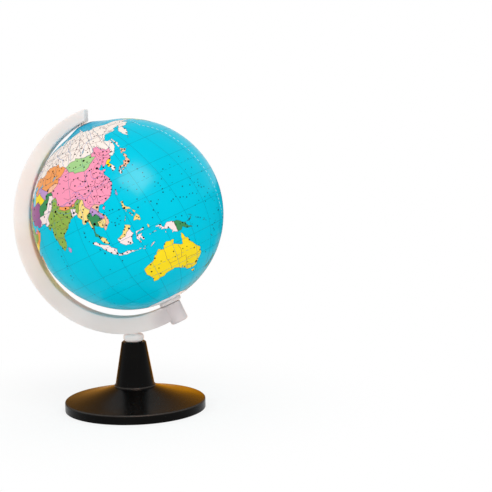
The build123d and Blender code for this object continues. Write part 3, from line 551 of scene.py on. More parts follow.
# Country borders, one to a line, with ends a little past what they meet. A backslash runs a line on.
borders = """
31.5 70.6 28.5 69 30 67.5 29.5 65 31.5 62.8 28 60.2
28.5 69 28 70.1 25.8 69.5 20.5 69.1 16 67.5 14.2 65.5 12.2 63.5 12.5 61.5 11.8 59.8 11.2 58.5
20.5 69.1 23.8 67.8 24 65.5
28.2 60 27.5 57.5 28.2 56.1 30.8 54.5 31.8 53 31.7 52.1 34.5 51.5 36 50.3 40 49.5 39.5 47.9 38.2 46.8
28.2 56.1 26.5 55.5 25.8 54.3 23.5 54 22.8 54.4 20.3 54.3 19.3 55
31.7 52.1 28 51.5 23.6 51.6 23.5 54
24.5 57.9 27.3 57.6
20.8 56.2 24.5 56.3 26.5 55.5
23.6 51.6 24 50.6 22.6 49.1 20 49.3 18 50 15 51 14.6 52.5 14.2 54.2
15 51 12.2 50.3 13.8 48.8 13 47.7 9.6 47.5 7.6 47.6 8.2 49 6.1 49.5 6 51.8 7.2 53.9
6.1 49.5 2.4 51.4
7.6 47.6 6.8 46 7.5 43.3
6.8 46 9 46 10.5 46.8 13.6 46.5 13.8 45.3
9.6 47.5 10.5 46.8
-2 43.7 .7 42.8 3.6 42.3
-9.2 41.9 -6.3 41.7 -7 39.5 -7.4 36.8
8.2 54.8 10.3 54.8
18 50 17 48.7 13.8 48.8
17 48.7 17 48 22.3 48.4 22.6 49.1
17 48 16.3 46.8 13.6 46.5
22.3 48.4 20.3 46.2 18.8 45.9 16.3 46.8
22.3 48.4 26.5 48.2 28.2 45.5 30.2 45.2
20.3 46.2 22.7 44.2 29 43.7
22.7 44.2 22.4 42.3 22.9 41.3
19.7 39.5 21 40.8 22.9 41.3 26.5 41.6 26.1 40.4
26.5 41.6 28.4 42
22.4 42.3 21 40.8
18.8 45.9 19.3 44 18.2 42.1
21 40.8 20.3 42.3 19.1 41.9
40.9 41.8 41.6 41.5 43.5 41.1 44.8 39.7 44.6 37.2 42.4 37.1 36.7 36.8 35.6 36
39.5 43.3 42.5 43.2 46.5 41.8 49 41.7
43.5 41.1 46.5 41.8
44.8 39.7 48 39.5 49.3 38.2
44.6 37.2 46 35.5 45.5 33.8 47.8 31 48.6 29.6
53.3 37.2 57 38.2 61.2 36.6 61.2 35.6 60.6 33.5 61.7 31 60.9 29.8 63.2 27.2 61.5 24.8
42.4 37.1 41.2 34.5 38.8 33.3 39.2 32 42 31.1 44.7 29.2 46.5 29.1 48.2 28.4
46.5 29.1 47.9 30.3
38.8 33.3 36 32.6 34.8 33.2
39.2 32 37.5 31 36 29.2 34.7 29.2
36 32.6 35.4 31 34.9 29.4 34 31.5
42.3 16.4 45 17.4 48 18.2 52 19 55 20 55.7 22 55.2 22.8 56.7 25
52 19 53.3 16.2
55.2 22.8 52.5 22.9 51.3 24.5
50.6 24.6 51.8 24.6
49.3 46.2 47 48 47.5 50.2 51 51.6 55 50.8 59 50.8 61.5 51.5 61 53.5 65 54.4 71 54.2 73.5 53.6 77 54.2 80 \
51 83.5 51 87.3 49.1 85.5 47.2 82.5 45.3 80.2 45 80.3 42.2 75 43 71 42.4 68.5 41.2 66.5 41.9 61 44.2 \
58.5 45.6 56 45 56 41.3 52.2 41.8
56 41.3 58.5 42.6 60.2 41.3 62.5 39.8 66.5 37.4 64.5 36.2 61.2 35.6
66.5 37.4 68 37 71.5 36.7 71.3 38.2 74.9 37.3 73.7 39.5 76.5 40.4 80.3 42.2
73.7 39.5 69.5 39.8 67.5 39.3 68 37
69.5 39.8 71 42.4
60.9 29.8 66.3 29.9 66.5 31.5 69.3 32 70 34 71.5 36.7
74.9 37.3 76 35.8 78 35.5 79 33 78.7 31.3 81 30.2 84 28.9 88.1 27.9 88.9 27.3 90.5 28.1 92 27.8 94.5 \
29.2 97.3 28.2
68 23.4 71 24.4 70 27 73 29.9 74.5 31.5 74.3 32.8 74 34.8 78 35.5
81 30.2 80.1 28.8 84.5 26.8 88.1 26.4 88.1 27.9
92 27.8 92 26.9 88.9 26.9 88.9 27.3
89 21.4 88.8 24 88.4 26.3 89.8 25.9 92.3 25 91.4 23.8 92.5 22.8 92.3 20.6
97.3 28.2 95.2 26.6 94.2 23.9 92.8 22 92.5 22.8
97.3 28.2 98.6 27.5 98 24.5 99.5 22.9 101.2 21.5 100.1 20.4 98 19.5 97.7 18 98.8 16.2 99.2 13 98.4 9.9
101.2 21.5 102.2 22.4 104.8 23 106.7 22.2 108.1 21.3
102.2 22.4 103.8 20.8 104.8 19.5 106.5 17 107.6 15.5 107.5 14.5 105.6 14.4 102.8 14.2 102.8 11.4
100.1 20.4 101.2 19.5 101 17.8 103.5 18.3 104.8 16.5 105.6 14.4
107.5 14.5 107.4 12.3 106 11.2 104.3 10.1
99.8 6.5 101.2 5.8 102.3 6.5
87.3 49.1 92 50.8 98.2 50.6 98.3 52 102.2 50.6 107 49.8 113 49.6 116.7 49.8 115.6 47.8 119.8 46.8 116 \
45.6 111.8 44 110 42.7 105 41.6 100 42.6 96.4 42.8 95.3 44.3 91 45.2 87.3 49.1
116.7 49.8 119.9 50.5 120.8 53.2 125.5 53 127.5 50 130.8 48.9 130.9 47.7 134.7 48.4 133.2 45.2 131.2 \
44.9 130.6 42.4 130.9 42
130.6 42.5 129 42 126.8 41.7 124 39.5
126.4 37.7 128.7 38.7
109.5 2.3 110.5 .9 114 1.4 115.5 3 118.2 4.1
141 -2.2 141 -9.6
125.1 -8.4 125.1 -9.9
-2 35.3 -1.8 32.5 -3.5 30.9 -8.7 28.7 -8.7 27.5
-13.3 27.7 -8.7 27.6 -8.7 26 -12 26 -12 23.4 -13 21.3 -17.4 21.1
-8.7 27.4 -4.8 25 -6.5 25 -5.5 15.5 -12 14.8 -14.5 16.6 -16.9 16.1
-4.8 25 3.2 19.1 4.2 19.2 12 23.5 9.5 26.5 9.5 30.2 10.3 31 11.6 33.4
9.5 30.2 7.6 33.5 8.3 35.5 8.6 37.2
12 23.5 15 23 24 19.5 24 20 25 22 25 31.9
25 22 37.1 22
24 19.5 22 13 23 11 19 9 15.2 7.4
15 23 15.5 17 13.5 13.7 7 13 3.6 11.7 2.7 9 2.7 5.9
4.2 19.2 4 16.5 .2 14.9 3.6 11.7 .9 11 -2.8 11 -5.5 10.4 -8 10.2
.2 14.9 -4 13 -5.5 10.4
-2.8 11 -2.7 7.5 -3.1 4.7
.9 11 .5 8 1.2 5.8
-8 10.2 -8.9 12.3 -11.4 12.2 -12 14.8
-11.4 12.2 -17 12.4
-13.6 9 -10.5 9.5 -8.5 7.6 -7.5 4
-8.5 7.6 -8 10.2
38.8 18.1 36.5 14.3 34 10.6 33 8 36 4.4 38 3.6 41.9 4 45 5 48 8 44 9 42.9 11 43.5 11.6
36.5 14.3 42.7 12.3
23 11 24.5 8.7 28 9.4 33 10.2 34 10.6
41.9 4 41 -.9 41.8 -1.9
36 4.4 34 4.2 34.5 1.2 33.9 -1 37.6 -3.3 39.5 -4.8
34 4.2 31 3.6 31.2 2.2 29.6 -1.4 33.9 -1
29.6 -1.4 29.3 -4.5 31 -8.3 33 -9.4 34.5 -11.5 40.9 -10.5
31 -8.3 28.5 -9.5 29.8 -12.3 29.8 -13.4 26 -11.9 24 -11 21.8 -7.3 17.5 -8.1 16.7 -5.9 12 -5.9
24 -11 24 -13 22 -13 22 -16.2 23.4 -17.6 18.4 -17.4 13.9 -17.4 11.3 -17.2
23.4 -17.6 21 -18.3 21 -22 20 -22 20 -28.4 16.1 -28.7
20 -24.8 22.6 -26 25.8 -24.7 27 -23.6 29.4 -22.2 31.3 -22.4 32 -26.8 33.1 -26.9
29.4 -22.2 25.3 -17.8 28.9 -15.9 30.4 -15.6 32.9 -16.7 32.5 -21.3 31.3 -22.4
23.4 -17.6 25.3 -17.8
30.4 -15.6 30.2 -14.9 33.2 -14 34.5 -11.5
8.5 4.4 11.5 6.6 13.2 9.6 14.6 12 13.5 13.7
14.6 12 15.5 9.9 15.2 7.4 14.6 5 16.1 2.2 18.6 3.5 19.5 5.1 24.5 5 27.4 5.1 24.5 8.7
27.4 5.1 31 3.6
9.3 2.3 13.3 2.2 16.1 2.2
18.6 3.5 17.8 -.5 15.5 -4.2 13 -4.6 12.1 -6
13.3 2.2 14.4 -1.3 10.8 -4
-141 70 -141 60.3 -137.5 58.9 -133.5 58.4 -130 55.9 -130.9 54.4
-123.5 49 -95.2 49 -94.6 48.7 -89.5 48 -84.5 46.3 -82.5 45.3 -82.4 42.8 -83.1 42.1 -79 42.9 -78 43.5 \
-76.3 44.1 -74.7 45 -71.5 45 -70.3 46.5 -69.2 47.4 -67.8 47.1 -67.8 45.7 -66.9 44.5
-117.4 32.5 -114.8 32.5 -111.1 31.3 -108.2 31.3 -106.5 31.8 -103.3 29 -101.4 29.8 -99.5 27.5 -96.8 25.9
-92.4 14.3 -91.5 16 -91 17.8 -89.2 17.8 -88 18.4
-89.2 17.8 -89.2 15.9 -88.4 15.7
-89.2 15.9 -89.3 14.4 -90.2 13.5
-89.3 14.4 -87.8 13 -87.8 12.2 -87.6 13 -85 14.5 -82.9 15
-86 11 -83.3 10.8
-83 8 -82.4 9.7
-77.1 8.9 -78 7
-71.2 12.3 -72.8 10 -72.3 7.3 -67.5 6.2 -67 1.2 -64 1.8 -64 4 -60.7 5 -61 7 -59.7 8.8
-60.7 5 -59.5 1.8 -56.5 1.9 -57.3 6.4
-56.5 1.9 -54.5 2.3 -51.2 4.8
-54.5 2.3 -54 6.1
-67 1.2 -69.8 1.2 -69.9 -4.2 -75.2 0 -77.5 .6 -79.2 1.6
-75.2 0 -78 -3.2 -80.4 -4.4 -80.5 -3
-69.9 -4.2 -73.9 -7.4 -70.5 -9.5 -69.5 -11 -69 -15.5 -69.5 -17.5 -70.7 -18.4
-69.5 -11 -65.3 -10 -60.2 -13.7 -58 -17.5 -57.9 -20 -57.8 -22.1 -54.5 -24 -54.6 -25.6 -53.7 -27 -57.6 \
-30.2 -54 -31.9 -53.1 -34.2
-69.5 -17.5 -68.2 -21.5 -67 -23 -62.7 -22.2 -62 -19.8 -57.9 -20
-54.6 -25.6 -58 -27.3 -57.7 -25.3 -62.7 -22.2
-57.6 -30.2 -58.2 -33.5 -58.4 -34.6
-67 -23 -68.5 -27 -70 -33 -71 -38 -71.8 -44 -73.2 -49 -72.3 -51.7 -68.3 -52.4
-68.6 -52.5 -68.6 -55.7
-71.8 19.9 -71.8 17.8
"""

# A place inside each country, by ink.
countries = {
    "cream": "100 62 143 50.5 128 36.5 -12.5 24.5 -40 74 -5.5 8 24 55.5 55 72",
    "pink":
        "105 33 54.3 23.6 19.5 52 18 -12 8 8 -64 -17 30 -19.5 11.5 -.5 22.5 39.5 -90 15"
        " 109.8 19.1 36.8 31",
    "light_green":
        "103 46.5 -98 39 -150 65 3 28 -8 39.5 26 63 30 -14 -56 -33 -78.5 -1.5 -8 53 25.5 58.8 34.3 -6.5",
    "orange":
        "68 48 84 28.2 90.5 27.4 -102 24 -72 -10 47 6 -7 31 10.5 51 9 17 -65 7 22 -30 44 42.3 20.8 44 -86"
        " 13 35.5 39.5 56 20",
    "olive":
        "78 22 94 26.2 -52 -9 47.5 -19 38 -1 12.5 43 19 15 44 33 -8.5 11 15 -1.5 30 7.5 -84.2 10 -56 4 46"
        " 23",
    "pale":
        "70 30 90.3 24.3 113 -1 102 -1.5 110 -7.3 121 -2.2 137 -4 9.3 34 -72 4 24.5 -20 32 1.5 8.3 46.9"
        " -58.5 -23.5 -1 8",
    "yellow":
        "133 -25 127 40.2 -95 58 -70 66.5 -110 71 -78 80 -121 73"
        " -86 75.4 -110 77 40 8 -3.5 40 22 -3 33 50 -65 -42 -10 20 47 15.5 17 -20 58 40 147 -42 29 28 16 62",
    "straw": "96 21 121.5 16.5 125 7.8 116 5.2 102.5 4 104 13",
    "dark_green":
        "101 15.5 144.5 -6 66 33.5 47.5 40.3 25.5 42.7 70.5 38.8 20 47 -15.5 13.5 21 7 173 -43 176 -39",
    "lilac":
        "104 18.5 121 23.8 81 7.5 2.5 46.5 9 61 28 53.5 17 27 -71 -30 25 45.6 -19 65 -70 19 -2 17 65 40.5"
        " -58.8 5 -79 22",
    "peach": "138 36 143 43.3 106.5 21.5 108 14.8 -2 52.5 75 41.5 14.5 47.3 37.5 35 30 14 37.5 -14",
    "blue_violet": "14.5 50 21.2 48.9 13 5 -1.5 12.5",
    "plum": "54 33",
    "red_brown": "18.5 44.3 9 56 -73 18.8 2 9.5 -12 8.3 -88.9 13.9 39 15.2",
    "white": "0 -80",
}

# The pole tone is not an ink of the map: it is painted shadow, a dark ring round the north pivot hole where
# the arm's end meets the ball.
inks = {
    "ocean": (0, 197, 224), "arctic": (10, 170, 206), "pole": (8, 78, 110), "lake": (120, 205, 232),
    "cream": (248, 236, 228), "pink": (247, 152, 182), "light_green": (165, 208, 140),
    "orange": (243, 160, 92), "olive": (144, 176, 78), "pale": (249, 229, 227), "yellow": (252, 222, 38),
    "straw": (246, 218, 130), "dark_green": (64, 142, 88), "lilac": (192, 150, 204),
    "peach": (248, 190, 158), "blue_violet": (112, 124, 206), "plum": (160, 92, 146),
    "red_brown": (192, 84, 72), "white": (246, 248, 250),
}

shore_dice = random.Random(7)
far_south, round_the_back, least_across = -78, 200, 0.2


def wander(a, b, rough, step):
    """Points between two drawn ones, with the small bends of a real shore or border."""
    across = math.cos(math.radians((a[1] + b[1]) / 2))
    dx, dy = (b[0] - a[0]) * across, b[1] - a[1]
    if math.hypot(dx, dy) < step:
        return []
    push = shore_dice.uniform(-rough, rough)
    middle = ((a[0] + b[0]) / 2 - dy * push / max(across, least_across), (a[1] + b[1]) / 2 + dx * push)
    return wander(a, middle, rough, step) + [middle] + wander(middle, b, rough, step)


def drawn_line(points, rough, step=0.75, closed=False):
    line = []
    for a, b in zip(points, points[1:] + points[:1] if closed else points[1:]):
        on_edge = min(a[1], b[1]) < far_south or abs(a[0] - b[0]) > round_the_back
        line += [a] + wander(a, b, 0 if on_edge else rough, step)
    return line if closed else line + [points[-1]]


def run_on(points, length):
    """Lengthens a line at both ends, so that it surely crosses what it is drawn up to."""
    ends = []
    for tip, back in ((points[0], points[1]), (points[-1], points[-2])):
        share = length / math.dist(tip, back)
        ends.append(tuple(t + (t - b) * share for t, b in zip(tip, back)))
    return [ends[0], *points, ends[1]]


# The latitude on the film that lands on each latitude of the ball.
print_lats = np.linspace(-90, 90, 7201)
ball_lats = np.degrees(on_ball(0, print_lats)[1])
south_edge = np.interp(south_hole, ball_lats, print_lats)
shore_loops = [drawn_line([(x, max(y, south_edge)) for x, y in pairs(text)], rough=0.13, closed=True)
               for text in coasts.values()]
lake_loops = [drawn_line(pairs(text), rough=0.12, closed=True) for text in lakes.values()]
border_lines = [drawn_line(run_on(pairs(text), 0.7), rough=0.05, step=1.0)
                for text in borders.strip().splitlines()]


def inside(points, loops):
    """Which points lie inside the closed loops, by counting crossings."""
    x, y = (np.array(points)[:, axis, None] for axis in (0, 1))
    odd = np.zeros(len(points), bool)
    for loop in loops:
        start = np.array(loop)
        end = np.roll(start, -1, 0)
        rise = np.where(start[:, 1] == end[:, 1], 1, end[:, 1] - start[:, 1])
        crossing = start[:, 0] + (y - start[:, 1]) * (end[:, 0] - start[:, 0]) / rise
        odd ^= (((start[:, 1] > y) != (end[:, 1] > y)) & (x < crossing)).sum(1) % 2 == 1
    return odd


def chain(first, count):
    """The edges that join points one after another."""
    return [(first + i, first + i + 1) for i in range(count)]


# The flat film: a net of points over the whole map, cut along every shore, border and the equator joint.
row_gap, cap_row_gap, beside_joint = 2.3, 0.75, 0.15
points_round_equator, fewest_round = 160, 96
rows = [south_hole, -85, -83.9, -82.5, *np.arange(-80.5, -1, row_gap), -beside_joint, 0, beside_joint,
        *np.arange(row_gap, 72, row_gap), *np.arange(72.5, 86, cap_row_gap), north_hole]
film_points, film_edges, row_starts = [], [], []
for ball_lat in rows:
    row_lat = float(np.interp(ball_lat, ball_lats, print_lats))
    count = max(fewest_round, round(points_round_equator * math.cos(math.radians(ball_lat))))
    row_starts.append((len(film_points), count))
    if ball_lat in (south_hole, 0, north_hole):
        film_edges += chain(len(film_points), count)
    film_points += [(cut_west + (cut_east - cut_west) * i / count, row_lat) for i in range(count + 1)]
for (low, low_count), (high, high_count) in zip(row_starts, row_starts[1:]):
    film_edges += [(low, high), (low + low_count, high + high_count)]
first_cut = len(film_edges)
for lines, closed in ((shore_loops + lake_loops, True), (border_lines, False)):
    for line in lines:
        first, last = len(film_points), len(line) - 1
        film_points += line
        film_edges += chain(first, last)
        if closed:
            film_edges.append((first + last, first))

weld_gap, cut_slack = 1e-6, 1e-5
net_points, net_edges, net_faces, _, edge_origins, _ = delaunay_2d_cdt(
    [Vector(point) for point in film_points], film_edges, [], 0, weld_gap)
net = np.array([(point.x, point.y) for point in net_points])
triangles = np.array(net_faces)
corners = net[triangles]
middles = (corners[:, 0] + corners[:, 1] + corners[:, 2]) / 3
areas = np.cross(corners[:, 1] - corners[:, 0], corners[:, 2] - corners[:, 0]) / 2
triangles[areas < 0] = triangles[areas < 0][:, ::-1]
corners = net[triangles]

edge_faces = {}
for index, (a, b, c) in enumerate(triangles.tolist()):
    for side in ((a, b), (b, c), (c, a)):
        edge_faces.setdefault((min(side), max(side)), []).append(index)
walls = {(min(edge), max(edge)) for edge, origins in zip(net_edges, edge_origins)
         if any(origin >= first_cut for origin in origins)}
neighbours = [[] for _ in triangles]
for edge, faces in edge_faces.items():
    if len(faces) == 2 and edge not in walls:
        neighbours[faces[0]].append(faces[1])
        neighbours[faces[1]].append(faces[0])

# Each area that the cuts close off is found by spreading from a triangle, and marked in its largest one.
region_of = np.full(len(triangles), -1)
region_marks = []
for start in range(len(triangles)):
    if region_of[start] >= 0:
        continue
    region, queue, largest = len(region_marks), [start], start
    region_of[start] = region
    while queue:
        face = queue.pop()
        if abs(areas[face]) > abs(areas[largest]):
            largest = face
        for other in neighbours[face]:
            if region_of[other] < 0:
                region_of[other] = region
                queue.append(other)
    region_marks.append(middles[largest])

# An area takes the ink of the place set in it, and one with none set takes that of the nearest place.
is_land, is_lake = inside(region_marks, shore_loops), inside(region_marks, lake_loops)
seeds = [(name, point) for name, text in countries.items() for point in pairs(text)]
seed_places = np.array([point for _, point in seeds])
seeded = {}
for name, point in seeds:
    sides = [np.cross(corners[:, (i + 1) % 3] - corners[:, i], np.array(point) - corners[:, i])
             for i in range(3)]
    seeded.setdefault(region_of[np.argmax(np.minimum.reduce(sides))], name)
region_inks = []
for region, mark in enumerate(region_marks):
    reach = (seed_places - mark) * (math.cos(math.radians(mark[1])), 1)
    nearest = seeds[np.argmin((reach ** 2).sum(1))][0]
    dry_ink = seeded.get(region, nearest) if is_land[region] else "ocean"
    region_inks.append("lake" if is_lake[region] else dry_ink)


def printed_ink_group():
    """Printed ink under varnish: a slow drift and a fine grain in the ink, and a faint orange peel."""
    group, given, result = skin_group("printed_ink", [
        ("Ink", "Color"), ("Drift", "Float"), ("Gloss", "Float")])
    place = place_on_piece(group)
    drift = cloudy(group, place, 45, detail=2)
    both = reckon(group, "ADD", drift, cloudy(group, place, 3500, detail=1))
    value = reckon(group, "MULTIPLY_ADD", reckon(group, "SUBTRACT", both, 1.0), given["Drift"], 1.0)
    shade = add_node(group, "ShaderNodeHueSaturation", {"Color": given["Ink"], "Value": value})
    feed(group, result, {
        "Color": shade.outputs["Color"],
        "Roughness": reckon(group, "MULTIPLY_ADD", drift, 0.08, given["Gloss"]),
        "Height": cloudy(group, place, 420, detail=1)})
    return group


printed_ink = printed_ink_group()


def ink_material(name, ink=None):
    """One printed ink, or with none given the map's own colours from the skin's attribute."""
    material, tree = new_finish(name)
    if ink:
        ink_light = light_of(ink)
    else:
        ink_light = add_node(tree, "ShaderNodeAttribute", attribute_name="ink").outputs["Color"]
    values = {"Ink": ink_light, "Drift": 0.1, "Gloss": 0.17}
    layer = add_node(tree, "ShaderNodeGroup", values, node_tree=printed_ink).outputs
    set_surface(tree, layer["Color"], layer["Roughness"], layer["Height"], relief=0.35, depth=0.00003,
                constants={"Specular IOR Level": 0.03})
    return material


def add_object(name, data):
    made = bpy.data.objects.new(name, data)
    bpy.context.collection.objects.link(made)
    return made


map_print = ink_material("map_print")
bare_shell = light_of((236, 234, 228))
ink_lights = {name: light_of(ink) for name, ink in inks.items()}
# The sea darkens towards the north pole; its last tone, at the pivot hole, is painted shadow of the arm's
# end.
sea_lats, sea_inks_and_shadow = (58, 79, 82, 85), ("ocean", "arctic", "arctic", "pole")
seam_width, seam_drop, seam_lean = 0.02, 0.00007, 0.8


def printed_shell(name, node, half):
    """One half of the ball: the printed skin, the inner wall and the edges that join them."""
    upper = np.degrees(on_ball(middles[:, 0], middles[:, 1])[1]) > 0
    chosen = np.nonzero(upper if half > 0 else ~upper)[0]
    used, faces = {}, []
    for triangle in triangles[chosen].tolist():
        face = []
        for lon, lat in net[triangle]:
            key = (round(cut_west if lon > cut_east - cut_slack else lon, 6), round(lat, 6))
            face.append(used.setdefault(key, len(used)))
        faces.append(face)
    lon, lat = np.array(list(used)).T
    ball_lat = np.degrees(on_ball(lon, lat)[1])
    at_seam = abs(ball_lat) < seam_width
    outer = skin_points(lon, lat, np.where(at_seam, -seam_drop, 0.0))
    normals = skin_normals(lon, lat) - np.where(at_seam, half * seam_lean, 0)[:, None] * to_north
    normals /= np.linalg.norm(normals, axis=1, keepdims=True)
    outward, _ = directions(lon, lat)
    inner = outer - shell_wall * outward
    total = len(used)
    sides = dict.fromkeys((a, b) for face in faces for a, b in zip(face, face[1:] + face[:1]))
    rims = [(a, b) for a, b in sides if (b, a) not in sides]
    polygons = faces + [[c + total, b + total, a + total] for a, b, c in faces]
    polygons += [[b, a, a + total, b + total] for a, b in rims]
    mesh = bpy.data.meshes.new(name)
    mesh.from_pydata(np.vstack((outer, inner)).tolist(), [], polygons)
    sea_and_shadow_lights = np.transpose([ink_lights[ink] for ink in sea_inks_and_shadow])
    sea = np.stack([np.interp(ball_lat, sea_lats, light) for light in sea_and_shadow_lights], 1)
    loop_inks, loop_normals = [], []
    for face, triangle in zip(faces, chosen):
        ink = region_inks[region_of[triangle]]
        loop_inks += [sea[corner] if ink == "ocean" else ink_lights[ink] for corner in face]
        loop_normals += [normals[corner] for corner in face]
    loop_normals += [-outward[corner] for a, b, c in faces for corner in (c, b, a)]
    for polygon in list(mesh.polygons)[2 * len(faces):]:
        loop_normals += [polygon.normal[:]] * 4
    loop_inks += [bare_shell] * (len(loop_normals) - len(loop_inks))
    colours = mesh.attributes.new("ink", "FLOAT_COLOR", "CORNER")
    colours.data.foreach_set("color", np.array(loop_inks, np.float32).ravel())
    mesh.polygons.foreach_set("use_smooth", [True] * len(mesh.polygons))
    mesh.normals_split_custom_set([tuple(normal) for normal in loop_normals])
    mesh.materials.append(map_print)
    shell = add_object(name, mesh)
    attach(shell, "globe")
    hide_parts(node)


printed_shell("printed_north_shell", "globe_north_hemisphere", 1)
printed_shell("printed_south_shell", "globe_south_hemisphere", -1)

# Map lines: shores, borders, provinces, rivers and the net of degrees are drawn in line inks on
# top of the flat ones. Each line is a thin raised film that follows the shell.

def press_tree(name, sizes):
    """A new tree that prints on marks of the ball, with its named sizes and the way out of the ball."""
    tree = bpy.data.node_groups.new(name, "GeometryNodeTree")
    marks = [("Geometry", "Geometry")]
    add_sockets(tree, "INPUT", marks + [("Ball Centre", "Vector"), *sizes, ("Ink", "Material")])
    add_sockets(tree, "OUTPUT", marks)
    given = add_node(tree, "NodeGroupInput").outputs
    place = add_node(tree, "GeometryNodeInputPosition").outputs["Position"]
    return tree, given, reckon_places(tree, "SUBTRACT", place, given["Ball Centre"])


def end_press(tree, printed, ink):
    """Ends a tree: what it prints becomes real mesh in its ink."""
    whole = add_node(tree, "GeometryNodeRealizeInstances", {"Geometry": printed}).outputs["Geometry"]
    inked = add_node(tree, "GeometryNodeSetMaterial", {"Geometry": whole, "Material": ink})
    add_node(tree, "NodeGroupOutput", {"Geometry": inked.outputs["Geometry"]})
    return tree


def printed_line_tree():
    """Any drawn line becomes a flat strip of ink that lies on the ball."""
    tree, given, outward = press_tree("printed_line", [("Line Width", "Float"), ("Ink Thickness", "Float")])
    line = add_node(tree, "GeometryNodeMeshToCurve", {"Mesh": given["Geometry"]})
    upright = add_node(tree, "GeometryNodeSetCurveNormal", {
        "Curve": line.outputs["Curve"], "Normal": outward}, mode="FREE")
    section = add_node(tree, "GeometryNodeCurvePrimitiveQuadrilateral", {
        "Width": given["Ink Thickness"], "Height": given["Line Width"]})
    strip = add_node(tree, "GeometryNodeCurveToMesh", {
        "Curve": upright.outputs["Curve"], "Profile Curve": section.outputs["Curve"], "Fill Caps": True})
    return end_press(tree, strip.outputs["Mesh"], given["Ink"])


printed_line = printed_line_tree()


def print_on_ball(name, places, edges, tree, ink, sizes):
    """Runs a tree over places of the map and keeps what it makes as a plain piece of the globe."""
    lons, lats = np.array(places).T
    drawn = bpy.data.meshes.new(name)
    drawn.from_pydata(skin_points(lons, lats).tolist(), edges, [])
    piece = add_object(name, drawn)
    press = piece.modifiers.new(tree.name, "NODES")
    press.node_group = tree
    sizes = {"Ball Centre": ball_centre, "Ink": ink_material(name + "_ink", ink), **sizes}
    for socket in tree.interface.items_tree:
        if socket.name in sizes:
            press[socket.identifier] = sizes[socket.name]
    finished = bpy.data.meshes.new_from_object(piece.evaluated_get(bpy.context.evaluated_depsgraph_get()))
    piece.modifiers.clear()
    piece.data = finished
    finished.name = name
    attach(piece, "globe")


def print_strips(name, places, edges, width, thickness, ink):
    print_on_ball(name, places, edges, printed_line, ink, {"Line Width": width, "Ink Thickness": thickness})


def print_net_edges(name, edges, width, thickness, ink):
    """The edges of the film that part two inks, joined into lines."""
    ends = sorted({end for edge in edges for end in edge})
    index = {end: place for place, end in enumerate(ends)}
    print_strips(name, net[ends], [(index[a], index[b]) for a, b in edges], width, thickness, ink)


def print_lines(name, lines, width, thickness, ink):
    """Separate lines of map points in one ink."""
    places, edges = [], []
    for line in lines:
        edges += chain(len(places), len(line) - 1)
        places += line
    print_strips(name, places, edges, width, thickness, ink)


wet = np.array([ink in ("ocean", "lake") for ink in region_inks])
shore_edges, border_edges = [], []
for edge, faces in edge_faces.items():
    if len(faces) == 2:
        one, other = region_of[faces[0]], region_of[faces[1]]
        if wet[one] != wet[other]:
            shore_edges.append(edge)
        elif not wet[one] and one != other and edge in walls:
            border_edges.append(edge)
print_net_edges("shore_lines", shore_edges, width=0.00016, thickness=0.00005, ink=(40, 100, 124))
print_net_edges("border_lines", border_edges, width=0.00018, thickness=0.00004, ink=(104, 64, 82))

